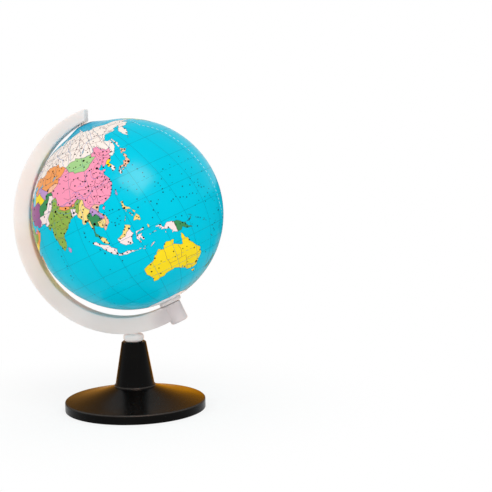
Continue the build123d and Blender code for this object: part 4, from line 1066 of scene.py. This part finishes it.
# Province and state lines.
provinces = """
60 55 64 58 63 61 67 62 72 60.5 78 60.5 82 61
66 56.5 70 56 75 57.5 84 57 88.5 57.5
82 61 84 64.5 84 68 80 70
84 57 88 60 95 58.5 100 58 104 56.5
96 53 97 56 100 58 104 62 106 64.5 108 68 113 72
104 56.5 108 58.5 112 60 117 59 120 56.5 121.5 53.5
112 60 110 63.5 106 64.5
120 56.5 127 56.5 132 55.5 137 57.5 139 60 147 62 152 64.5 158 65.5 161 68.5
127 56.5 126 54 130 49.5
147 62 149 60 155 61 160 61.5 165 63 172 62.5
117 59 117 55.5 116 50
104 56.5 106 53.5
88.5 57.5 90 54 92 52 96 53
75 57.5 77 54.5
137 57.5 134 53 135 50
64 58 60 61 60 65 66 68
88 60 90 64 96 66 102 66.5 106 64.5
100 58 103 60.5 110 63.5 118 64.5 124 67 130 66 136 68.5 138 71.5
118 64.5 121 61.5 127 60.5 133 62 139 60
130 66 133 62 134 58.5 132 55.5
148 66 152 64.5 150 70.5
158 65.5 166 66 172 64.5 178 66.5
72 60.5 74 64 78 66 84 64.5
92 69.5 96 66 100 71.5
108 58.5 110 55.5 113 53.5 117 55.5
100 53 101.5 55 104 56.5
84 53.5 86.5 55 88.5 57.5
70 56 71 58 75 57.5
143 52.5 141.9 50.2
123 49 126 47.5 130 48
126.9 45.2 129 44.5 131 45.3
117 36.7 119 35.5 117.5 34 115.5 34.8
114.5 33 116.5 32 118.5 32.8 121 32.3
112 35 111 33 113 31.5 116.5 32
116 29.6 115 31 116.5 32
113.5 26 113 28 114.5 29
107.5 24 108.5 26 106 27.2
102 28 101 25 103 23.5
106 30 107.5 31.8
85 42.5 88 41 92 41.5
85 33 88 31 92 31.5 95 33
50 53 52 56 48 58 50 61 60 61
40 52 44 54.5 42 57 40 60.5 46 62 50 61
33 56 38 58 40 60.5 35 62
74 30 77 28 80 25 84 24 87 22
73 21 77 21.5 80 18.5 84 18.5
75 16 78 15 80 13.5
80 25 81 21.5 84 18.5
70 24 74 24 77 25
60 50 64 48.5 70 48 76 48.5 80 46.5
64 48.5 66 44.5
71 52 70 48 71 45
76 48.5 77 51
129 -14.6 129 -31.8
129 -26 138 -26 141 -26 141 -29 141 -38.2
138 -16.2 138 -26
141 -29 149 -29 153.5 -28.3
141 -34 144.5 -36 148 -36 150 -37.4
126.9 45.2 124 46.5 122.5 45.8 121 48.5 120 50.5
129 42 127 44 123.5 43 121 40.8
119.5 41.5 116 42 114 40.5 113 39.8 111 39.5
106.5 38.5 104 37.5 103 36 100 38 96.5 40 92.5 39.5 90.5 36.5 84 35.8
90.5 36.5 95 33 99 33 102 32 104.5 32.5
111 39.5 110.5 36 112 35 114.5 35.8 115.5 34.8
104.5 32.5 110 32 110.5 34.5
110 32 109.5 29 112 29.5 116 29.6 118 29.2 120 30.4
109.5 29 109 26.5 105.5 25 104 28 98.5 29
109 26.5 111.5 24.8 114 24.8 116.5 23.8
118 29.2 117 27 118.5 28 120.3 27.2
-124.5 46 -117 46 -117 42 -124.2 42
-120 42 -120 39 -114.7 35.2
-114 49 -114 42 -111 42 -111 45 -104 45
-114 42 -114 36.5 -109 37 -102 37 -102 41 -104 41 -104 49
-109 37 -109 31.4
-103 37 -103 32 -106.5 32
-96.5 49 -96.5 43.5 -91.2 43.5 -91.2 40.5 -95.8 40.5 -94.6 37 -94.5 33.5 -94 29.9
-89.5 36.5 -83.5 36.6 -75.8 36.6
-85.5 35 -85 32 -85 30.2
-88.2 35 -88.4 30.6
-91 33 -94 33
-87.5 41.7 -87.5 38 -84.8 39.2 -80.5 40.6 -80.5 42
-120 60 -102 60 -94.8 60
-120 60 -120 54 -114 49.2
-110 60 -110 49.1
-102 60 -101.5 49.1
-95.2 52.8 -89 56.6
-79.5 51.2 -79.5 47 -75 45.4
"""

# The great rivers.
rivers = """
92 33 97 32.5 100 27.5 104 28.8 108 30.8 111 30.4 114 30.5 117 31.6 121 31.8
97 35 102 34 104 36.2 106.5 38.5 108 40.7 111 40.2 110.5 35 114 35 118.5 37.7
108 49 116 49.8 121 53.2 127 50.5 131 48 136 49.5 140 52.8
105 54 112 58 120 60 126 62 127 66 125.5 71 126.5 72.8
93 52 92 57 87 61 87 66 83 70.5
85 51 83 54 78 57 69 61 66.5 64.5 71 66.5
82 30.5 84 29.3 90 29.4 94.8 29.8 95.5 27.8 91.5 26.2 89.8 25 90.3 23
78.5 30 80 27 83.5 25.5 88 24.8 90 23.4
80 31.8 77 34.5 73.5 34 71 31.5 68.2 27 67.6 24.4
94.5 33 99 28 100 22 101 18.2 104.5 17.2 106 13 105.5 10
97 26 95.5 22 95 17 94.8 16
39 56 44 56.5 49 55 46 50 47.8 46.5
33 -1 31.5 3 30.5 9 32.8 14 33.8 18 31 20.5 32.8 24.5 31.2 29.5 30.8 31.4
27 -10 25.5 -3 23 1.8 18 .5 16 -3.5 12.8 -6
-10 10.5 -5 14 0 16.8 3.5 12 6.5 7.5 6 4.8
22 -12.5 23.5 -17.5 28.5 -16 33 -16.5 36 -18.5
10 53.5 13.5 50.5
10 48.2 16.5 48.1 19 47.5 20.5 44.8 27 44 28.8 45.2
-75 -9.5 -73.5 -4.5 -67 -3 -60 -3.2 -54 -2.2 -51 -.6
-57 -16 -57.8 -22 -58.5 -27.5 -60 -32 -58.6 -34
-67 3 -67.5 6.2 -62.5 8.4 -61 9
-95 47.2 -91.5 44 -91 40 -89.3 37 -91 33.5 -90 30
-111.5 45.8 -104 47.8 -100 44 -96 41 -94.5 39 -90.3 38.7
-115 61.3 -121 61.8 -125 64.8 -129 67 -134 69
-134 61 -139.5 64 -148 66 -158 64.8 -163.5 62.8
147.8 -36 144.5 -35.8 142 -34.2 139.5 -35.2
"""


def kept_on_land(text, rough, step):
    """Draws the lines of a text, less the stretches that run out over water."""
    kept = []
    for points in text.strip().splitlines():
        line = drawn_line(pairs(points), rough, step)
        dry = inside(line, shore_loops) & ~inside(line, lake_loops)
        for on_land, run in groupby(zip(dry, line), key=lambda mark: mark[0]):
            stretch = [point for _, point in run]
            if on_land and len(stretch) > 1:
                kept.append(stretch)
    return kept


province_lines = kept_on_land(provinces, rough=0.1, step=0.8)
print_lines("province_lines", province_lines, width=0.00015, thickness=0.00003, ink=(124, 64, 76))
river_lines = kept_on_land(rivers, rough=0.22, step=0.7)
print_lines("river_lines", river_lines, width=0.00014, thickness=0.000034, ink=(64, 128, 205))

net_step = 15
degree_lines = [[(lon, lat) for lat in np.arange(-75, 75.1, 1.5)] for lon in range(-165, 195, net_step)]
degree_lines += [[(lon, lat) for lon in np.arange(cut_west, cut_east + 0.1, 2.0)]
                 for lat in range(-75, 90, net_step)]
print_lines("degree_net", degree_lines, width=0.00013, thickness=0.000024, ink=(8, 122, 152))


def dashes(line, dash, gap, fineness=0.4):
    """Cuts a line of map points into dashes of even length in degrees."""
    fine = [line[0]]
    for a, b in zip(line, line[1:]):
        steps = max(1, round(math.hypot(b[0] - a[0], b[1] - a[1]) / fineness))
        fine += [(a[0] + (b[0] - a[0]) * i / steps, a[1] + (b[1] - a[1]) * i / steps)
                 for i in range(1, steps + 1)]
    on, off = round(dash / fineness), round(gap / fineness)
    return [fine[i:i + on + 1] for i in range(0, len(fine) - on, on + off)]


tropics = [dash for lat in (-66.6, -23.4, 23.4, 66.6)
           for dash in dashes([(cut_west, lat), (cut_east, lat)], dash=2.0, gap=1.2)]
print_lines("tropic_lines", tropics, width=0.00013, thickness=0.000028, ink=(10, 116, 148))
date_line = pairs(
    "183 78 183 71 190.6 66.5 186 63 178.6 55 182 50 184 45 183.5 28 182.8 19 183.5 10 183.5 -5 189 -15"
    " 189 -45 183 -51 183 -70")
date_dashes = dashes(date_line, dash=1.2, gap=1.2)
print_lines("date_line", date_dashes, width=0.0004, thickness=0.00004, ink=(200, 235, 240))

# Town and islet marks: round dots of black and dark blue ink, one small disc to each, printed
# over the map in the same pass as its lines.

towns = (
    "116.4 39.9 121.3 31.2 113.3 23.1 104.1 30.7 106.6 29.6 114.3 30.6 108.9 34.3 103.8 36.1 87.6 43.8"
    " 91.1 29.7 126.6 45.7 123.4 41.8 117 36.7 112.5 37.9 102.7 25 118.8 32 120.2 30.2 119.3 26.1 113"
    " 28.2 115.9 28.7 110.3 25.3 111.7 40.8 101.8 36.6 76 39.5 106.9 47.9 91.6 48 114.5 48 135.1 48.5"
    " 131.5 43.6 129.7 62 150.8 59.9 104.3 52.3 92.9 56 82.9 55 73.4 55 60.6 56.8 113.5 52 158.6 53.2"
    " 140 51 88.2 69.3 66 66.5 37.6 55.8 30.6 59.5 44 56.3 49.1 55.8 45 51.3 76.9 43.3 71.4 51.2 69.6 42"
    " 59.6 49 57.2 50.3 80 49.4 69.3 41.3 58.4 38 74.6 42.9 68.8 38.6 69.2 34.5 65.7 31.6 73 33.7 74.3"
    " 31.5 67.4 25.3 77.2 28.6 72.9 19.5 88.4 22.6 80 13.1 77.6 13 78.5 17.4 79 21.1 75.8 26.9 82.9 25.3"
    " 85.3 27.7 89.6 27.5 90.4 23.7 96.2 17 96.1 22 100.6 13.9 99 18.8 102.6 18 105.8 21 106.7 10.8"
    " 104.9 11.6 108 15.9 101.7 3.2 103.8 1.6 125.8 39 127 37.5 129 35.6 139.7 35.8 135.5 34.8 136.9"
    " 35.2 141.3 43 130.5 33.2 132.5 34.5 140.9 38.6 121.5 25 121 14.7 125.5 7.2 123.9 10.4 106.8 -6.4"
    " 112.7 -7.4 98.7 3.4 104.7 -3 114.6 -3.2 109.4 0 116.9 -.4 119.6 -5 124.8 1.4 128.2 -3.3 140.6 -2.8"
    " 147.2 -9.3 147 -7.1 115 4.6 116.1 5.8 149.1 -35.3 150.9 -33.7 145 -37.7 152.8 -27.5 138.7 -34.7"
    " 116 -31.9 131 -12.7 133.9 -23.7 121.5 -30.7 145.8 -17.2 122.5 -18.2 140 -20.8 147.3 -42.7 174.8"
    " -37.1 172.5 -43.5 51.4 35.7 59.6 36.3 51.7 32.7 52.5 29.6 44.4 33.3 46.7 24.6 39.4 21.6 44.2 15.4"
    " 58.2 23.4 54.6 24.2 36.3 33.5 35.2 31.8 32.9 39.9 29.3 40.9 44.8 41.7 31.2 30 32.5 15.6 38.7 9"
    " 36.8 -1.3 45.2 2.2 39 -6.8 32.6 .3 13.2 32.6 3 36.5 -6.8 33.9 -8 12.6 7.5 9.1 3.5 6.6 -17.2 14.7"
    " 15.3 -4.3 13.4 -8.9 28.3 -15.4 28.2 -25.7 18.6 -33.7 31 -29.7 32.5 -25.7 47.5 -18.9 17.1 -22.6"
    " 25.9 -24.6 15 12.1 2.1 13.5 -.1 51.5 2.3 48.9 -3.7 40.4 12.5 42 13.4 52.5 21 52.2 30.5 50.5 18.1"
    " 59.3 25 60.4 10.8 59.9 16.4 48.2 19 47.5 26.1 44.5 23.7 38.1 -8.9 38.8 -77 38.9 -74.3 40.8 -87.7"
    " 41.6 -118 34 -122.2 37.7 -95.4 29.8 -80.4 25.9 -84.4 33.8 -104.9 39.7 -122.1 47.5 -75.7 45.4 -79.5"
    " 43.8 -114.1 51 -97.1 49.9 -123 49.3 -99.1 19.4 -103.3 20.7 -82.4 22.9 -90.5 14.6 -79.5 9 -74.1 4.6"
    " -66.9 10.3 -78.5 -.2 -77 -12 -68.1 -16.5 -70.7 -33.4 -58.6 -34.7 -56 -34.7 -57.6 -25.2 -47.9 -15.8"
    " -43.4 -22.7 -46.6 -23.5 -38.6 -12.9 -60 -3 -35.1 -8 -149.9 61.3 -51.2 64.2 -21.6 64.2 125.3 43.9"
    " 124 47.3 117.2 39.1 114.5 38 108.3 22.8 110.2 20 106.2 38.5 106.7 26.6 113.7 34.8 117.3 31.8 116.7"
    " 23.4 118.1 24.5 120.6 28 121.6 29.9 120.4 36.1 121.6 38.9 119 33.6 117.2 34.3 111.3 30.7 109.5 31"
    " 105 33 107 33.1 100.2 26.9 98.5 39.7 94.7 40.1 82 41.5 81 44 88 47 79.9 37.1 85.5 38 97 31.2 94 31"
    " 95 29.3 80.1 31.3 89 29 101 30 99.5 36 95 36.4 103 33 104.5 39 109.8 40.6 116 44 120 49.3 119 42.3"
    " 122 43.7 128 47.7 131 46.7 127.5 50.2 98 46.4 102.8 46.3 106 44 110 46 100.2 49.6 95.8 46.4 136 63"
    " 140 60 145 62 147 68 153 67.5 160 62 163 57 166 60 170 66.5 177 64.7 120 60.5 125 58 128 71.6 113"
    " 68 108 65 102 70 99 64 91 65 87 62 84 59 78 61 70 61 65 60 74 66 72 68 80 67 95 60 100 58 107 57"
    " 117 54 123 54 133 54.5 142.7 50 134 45.5 98 55 87 54 79 55 68 55.3 65 57.2 56 58 54 61 57 65 50"
    " 65.5 41 64.5 33 69 39 57.5 40 47.2 48 46.5 52 52 55.9 54.8 48 58.5 51.9 47.2 52 43.8 66 45 65.5"
    " 52.3 69 54.5 75 47.5 77 52.3 73.1 49.8 82.5 50 78.5 45 66.5 48 61 45 55 49 63.6 53.2 70.8 22.3"
    " 72.6 23 73.8 15.5 76.3 10 78 10 83.2 17.8 85.8 20.2 85.3 23.4 85 25.6 81 26.8 78 27.2 74.8 34 76.5"
    " 32 79 30 73 26.3 77.4 23.2 81.6 21.2 77 20 74 18 80.6 16.5 94 27 92 26 72.3 34 71.5 30.2 64 26"
    " 66.5 29 94.5 20.1 97.6 16.9 97 23 97.4 25.4 98.6 12.4 100.4 5.9 103.2 3.9 100.5 7.2 104.8 15.2"
    " 99.9 19.9 103.9 13.4 106 15 102 19.9 107.6 16.3 109 13.8 105.6 18.7 113.8 2.3 110.5 1.3 117.7 4.3"
    " 113.9 -2.2 110.4 -7.2 107.6 -6.9 95.6 5.3 100.6 -.9 102.4 -3.6 105.2 -5.2 120.1 -1.2 122.3 -3.7"
    " 133.6 -1.2 137 -4.5 141.6 -5 144 -5.8 145.6 -5.6 150.4 -5.6 120.6 16.4 121.6 17.8 122.6 11 124.8 8"
    " 138.2 36.7 133 35.1 131.3 32 144 43.3 142.4 43.8 140.6 40.7 128.6 36 126.8 35 127.5 39.8 129.4"
    " 41.8 118.6 -21 117 -26 134 -19.6 143 -20.7 148 -24 141.5 -32 122 -26 125 -22")

# Seats of government, marked larger.
capitals = (
    "116.4 39.9 106.9 47.9 139.7 35.8 77.2 28.6 149.1 -35.3 71.4 51.2 37.6 55.8 100.6 13.9 96.2 17 69.2"
    " 34.5 51.4 35.7 31.2 30 -77 38.9 -47.9 -15.8 -.1 51.5 2.3 48.9 13.4 52.5 36.8 -1.3 -58.6 -34.7"
    " -75.7 45.4 -99.1 19.4 121 14.7 105.8 21 174.8 -41 28.2 -25.7 46.7 24.6 32.9 39.9 125.8 39 127 37.5"
    " 69.3 41.3 85.3 27.7 90.4 23.7")

# Small islands.
islets = (
    "144.8 13.5 145.7 15.2 134.5 7.4 138.1 9.5 151.8 7.4 158.2 6.9 163 5.3 167.7 8.7 171.4 7.1 173 1.4"
    " 166.9 -.5 166.6 19.3 182.6 28.2 142.2 27 141.3 24.8 154 24.3 153 16 149 20 157 12 162 11 165 14"
    " 170 12 175 5 178 -8.5 179.2 -8.5 169.3 -19.5 168.3 -17.7 171.8 -13.6 -171.8 -13.8 -170.7 -14.3"
    " 184.8 -21.2 188.2 -14 -149.5 -17.6 -139 -9.8 -157.4 1.9 -159.8 -21.2 -130 -25 -109.4 -27.1 -90.5"
    " -.6 -78.8 -33.6 -64.8 32.3 -28 38.5 -16.9 32.7 -15.5 28.2 -23.6 15 -5.7 -15.9 -14.4 -7.9 -12.3"
    " -37.1 3.4 -54.4 -36.5 -54.3 55.5 -21.1 57.5 -20.3 55.4 -4.6 43.3 -11.7 73.5 4.2 73.4 .5 72.4 -7.3"
    " 96.8 -12.2 105.6 -10.5 77.6 -37.8 37.8 -46.9 51.7 -46.4 73.5 -53.1 159 -54.5 169 -50.6 -176.5 -44"
    " 159.1 -31.5 168 -29 147 -2 143.5 -1.2 156.5 -6.9 158 -7.7 162 -10.6 167.9 -15.5 169.5 -18.8 114.2"
    " 16.6 112.3 16.8 115.5 9.8 113.8 8.5 111.6 8.7 117.7 15.1 131.2 25.9 125.2 24.8 140.3 33.1 146 7.5"
    " 147.5 8 149.7 8.6 153.6 6.9 155.5 6 160.5 6.5 164.8 6.3 169 7.5 170 9 168.5 10.5 166 11.2 172 3.2"
    " 173.5 .3 174.5 -1.2 176 -2.3 177 -7 170.5 -14.8 166 -11 154 -11.5 151 -8.9 180 -16.5 177.5 -19 186"
    " -18.6 185 -20.4 188 -8.9 190 -14.2 171.5 -9.4 180.5 -.9 184 -3 143 18 144.5 20 145.8 17 145.7 18.8"
    " 141 30 153.9 24.3 162 18 168 16 172 19 178 15 183 20 175 24 170 27 160 25 155 20 149 13 140 11 136"
    " 12 133 13 136 5 132 4 158 0 162 1.5 168 2 178 2 73 6.5 72.5 10.5 73.2 3 72.8 -1 71.5 -5.5 70 -8 93"
    " 12 92.7 10 93.8 7 99 -2.4 97.5 .6 110.5 11 114.5 11.5 112 10 109 17 116.5 12 128 22 133 20.5 130"
    " 16 128 12")


def printed_dot_tree():
    """A flat disc of ink on each marked point, square to the ball."""
    tree, given, outward = press_tree("printed_dot", [
        ("Dot Radius", "Float"), ("Size Spread", "Float"), ("Ink Thickness", "Float"), ("Seed", "Int")])
    marks = add_node(tree, "GeometryNodeMeshToPoints", {"Mesh": given["Geometry"]})
    disc = add_node(tree, "GeometryNodeMeshCylinder", {
        "Vertices": 10, "Radius": given["Dot Radius"], "Depth": given["Ink Thickness"]})
    turn = add_node(tree, "FunctionNodeAlignRotationToVector", {"Vector": outward}, axis="Z")
    smallest = reckon(tree, "SUBTRACT", 1, given["Size Spread"])
    size = add_node(tree, "FunctionNodeRandomValue", {2: smallest, 3: 1, "Seed": given["Seed"]},
                    data_type="FLOAT").outputs[1]
    scale = add_node(tree, "ShaderNodeCombineXYZ", {"X": size, "Y": size, "Z": 1})
    dots = add_node(tree, "GeometryNodeInstanceOnPoints", {
        "Points": marks.outputs["Points"], "Instance": disc.outputs["Mesh"],
        "Rotation": turn.outputs["Rotation"], "Scale": scale.outputs["Vector"]})
    return end_press(tree, dots.outputs["Instances"], given["Ink"])


printed_dot = printed_dot_tree()


def print_dots(name, text, radius, spread, ink):
    places = [(lon + 360 if lon < cut_west else lon, lat) for lon, lat in pairs(text)]
    print_on_ball(name, places, [], printed_dot, ink, {
        "Dot Radius": radius, "Size Spread": spread, "Ink Thickness": 0.00006, "Seed": 3})


print_dots("town_dots", towns, radius=0.00048, spread=0.4, ink=(14, 13, 18))
print_dots("capital_dots", capitals, radius=0.00075, spread=0.35, ink=(30, 10, 16))
print_dots("islet_dots", islets, radius=0.00042, spread=0.45, ink=(14, 62, 92))

# Studio: a plain white floor and surround, a soft lamp above the camera and a wide fill to its left.
# Three cards show in the gloss surfaces alone: a window, a low warm wall behind and a dark flag.

def add_sheet(name, corners, material):
    """A flat square-cut sheet of the studio, such as the floor or a card."""
    mesh = bpy.data.meshes.new(name)
    mesh.from_pydata([tuple(corner) for corner in corners], [], [(0, 1, 2, 3)])
    mesh.materials.append(material)
    sheet = add_object(name, mesh)
    return sheet


def seen_or_mirrored(tree):
    """1 where the background is looked at, straight or in a gloss or clear surface, and 0 where it lights."""
    rays = add_node(tree, "ShaderNodeLightPath").outputs
    mirrored = reckon(tree, "MAXIMUM", rays["Is Camera Ray"], rays["Is Glossy Ray"])
    return reckon(tree, "MAXIMUM", mirrored, rays["Is Transmission Ray"])


floor_reach, shade_start, shade_end = 6, 0.035, 0.16
floor_paper, paper_tree = new_finish("floor_paper")
paper = paper_tree.nodes["Principled BSDF"]
feed(paper_tree, paper, {"Base Color": (1, 1, 1, 1), "Roughness": 1, "Specular IOR Level": 0})
off_centre = reckon_places(paper_tree, "LENGTH", place_on_piece(paper_tree))
far_off = ranged(paper_tree, off_centre, shade_start, shade_end, low=0.74, curve="SMOOTHSTEP")
white_sweep = add_node(paper_tree, "ShaderNodeEmission").outputs["Emission"]
swept = reckon(paper_tree, "MULTIPLY", far_off, seen_or_mirrored(paper_tree))
sweep = add_node(paper_tree, "ShaderNodeMixShader", {"Fac": swept, 1: paper.outputs["BSDF"], 2: white_sweep})
feed(paper_tree, paper_tree.nodes["Material Output"], {"Surface": sweep.outputs["Shader"]})
add_sheet("floor", [(floor_reach * x, floor_reach * y, 0) for x, y in ((-1, -1), (1, -1), (1, 1), (-1, 1))],
          floor_paper)

surround = bpy.data.worlds.new("surround")
surround.use_nodes = True
bpy.context.scene.world = surround
sky_tree = surround.node_tree
sky_level = ranged(sky_tree, seen_or_mirrored(sky_tree), 0, 1, low=0.73)
feed(sky_tree, sky_tree.nodes["Background"], {"Color": (1, 1, 1, 1), "Strength": sky_level})

camera_bearing, camera_distance, camera_height = math.radians(14), 0.733, 0.181
look_right, look_down, camera_roll = math.radians(5.0), math.radians(7.07), math.radians(-1.09)
overhead = Vector((0, 0, 1))
side = Vector((math.cos(camera_bearing), math.sin(camera_bearing), 0))
ahead = Vector((-math.sin(camera_bearing), math.cos(camera_bearing), 0))
level_sight = math.sin(look_right) * side + math.cos(look_right) * ahead
sight = math.cos(look_down) * level_sight - math.sin(look_down) * overhead
right = math.cos(look_right) * side - math.sin(look_right) * ahead
up = right.cross(sight)
level_right = math.cos(camera_roll) * right + math.sin(camera_roll) * up
level_up = math.cos(camera_roll) * up - math.sin(camera_roll) * right
lens = bpy.data.cameras.new("photo_view")
lens.sensor_width, lens.lens, lens.clip_start = 36, 96.88, 0.01
camera = add_object("photo_view", lens)
camera_turn = Matrix((level_right, level_up, -sight)).transposed().to_4x4()
camera.matrix_world = Matrix.Translation(camera_height * overhead - camera_distance * ahead) @ camera_turn
bpy.context.scene.camera = camera


def off_ball(rightward, upward, nearer):
    """How far a place is off the ball's centre, as the camera sees it."""
    return rightward * right + upward * up - nearer * sight


def soft_lamp(name, size, energy, reach):
    light = bpy.data.lights.new(name, "AREA")
    light.shape, light.size, light.energy = "SQUARE", size, energy
    light.color = (1, 0.975, 0.93)
    lamp = add_object(name, light)
    facing = reach.to_track_quat("Z", "Y").to_matrix().to_4x4()
    corner_up = Matrix.Rotation(math.radians(45), 4, "Z")
    lamp.matrix_world = Matrix.Translation(Vector(ball_centre) + reach) @ facing @ corner_up
    lamp.visible_glossy = False


soft_lamp("softbox", size=0.4, energy=3.0, reach=off_ball(0.27, 0.66, 0.722))
soft_lamp("left_fill", size=0.8, energy=1.7, reach=off_ball(-0.6, -0.05, 0.8))


def gloss_card(name, corners, spread, edge_tone, middle_tone, strength):
    """A glowing card that only gloss surfaces see, with its own fade from the middle to the edge."""
    glow, tree = new_finish(name)
    place = add_node(tree, "ShaderNodeTexCoord").outputs["UV"]
    fade = add_node(tree, "ShaderNodeTexGradient", {"Vector": place}, gradient_type="QUADRATIC_SPHERE")
    tone = tone_ramp(tree, fade.outputs["Fac"], edge_tone, middle_tone)
    light = add_node(tree, "ShaderNodeEmission", {"Color": tone, "Strength": strength})
    feed(tree, tree.nodes["Material Output"], {"Surface": light.outputs["Emission"]})
    card = add_sheet(name, corners, glow)
    for corner, place in zip(card.data.uv_layers.new(name="card").data, spread):
        corner.uv = place
    card.visible_camera = card.visible_diffuse = card.visible_shadow = card.visible_transmission = False


def upright_card(x_low, x_high, z_low, z_high):
    """The four corners of an upright card, along and up, from the lower left one round."""
    return (x_low, z_low), (x_high, z_low), (x_high, z_high), (x_low, z_high)


window_reach, window_half, window_spread = off_ball(0.217, 0.655, 0.722), 0.37, 0.8
window_turn = window_reach.to_track_quat("Z", "Y")
diamond = ((0, -1), (1, 0), (0, 1), (-1, 0))
gloss_card(
    "window_card", strength=44, edge_tone=(245, 204, 182), middle_tone=(255, 214, 192),
    corners=[Vector(ball_centre) + window_reach + window_turn @ Vector((window_half * x, window_half * y, 0))
             for x, y in diamond],
    spread=[(window_spread * x, window_spread * y) for x, y in diamond])
gloss_card(
    "warm_card", strength=1.9, edge_tone=(150, 112, 66), middle_tone=(255, 165, 10),
    corners=[0.075 * ahead + across * side + height * overhead
             for across, height in upright_card(-0.2, 0.14, 0.0, 0.08)],
    spread=upright_card(-1.5, 0.6, -0.2, 0.9))
gloss_card(
    "dark_flag", strength=1, edge_tone=(40, 48, 58), middle_tone=(30, 36, 46),
    corners=[0.11 * side + along * ahead + height * overhead
             for along, height in upright_card(-0.04, 1.2, 0.05, 0.135)],
    spread=upright_card(-0.5, 0.5, -0.5, 0.5))

bpy.context.scene.view_settings.view_transform = "Standard"
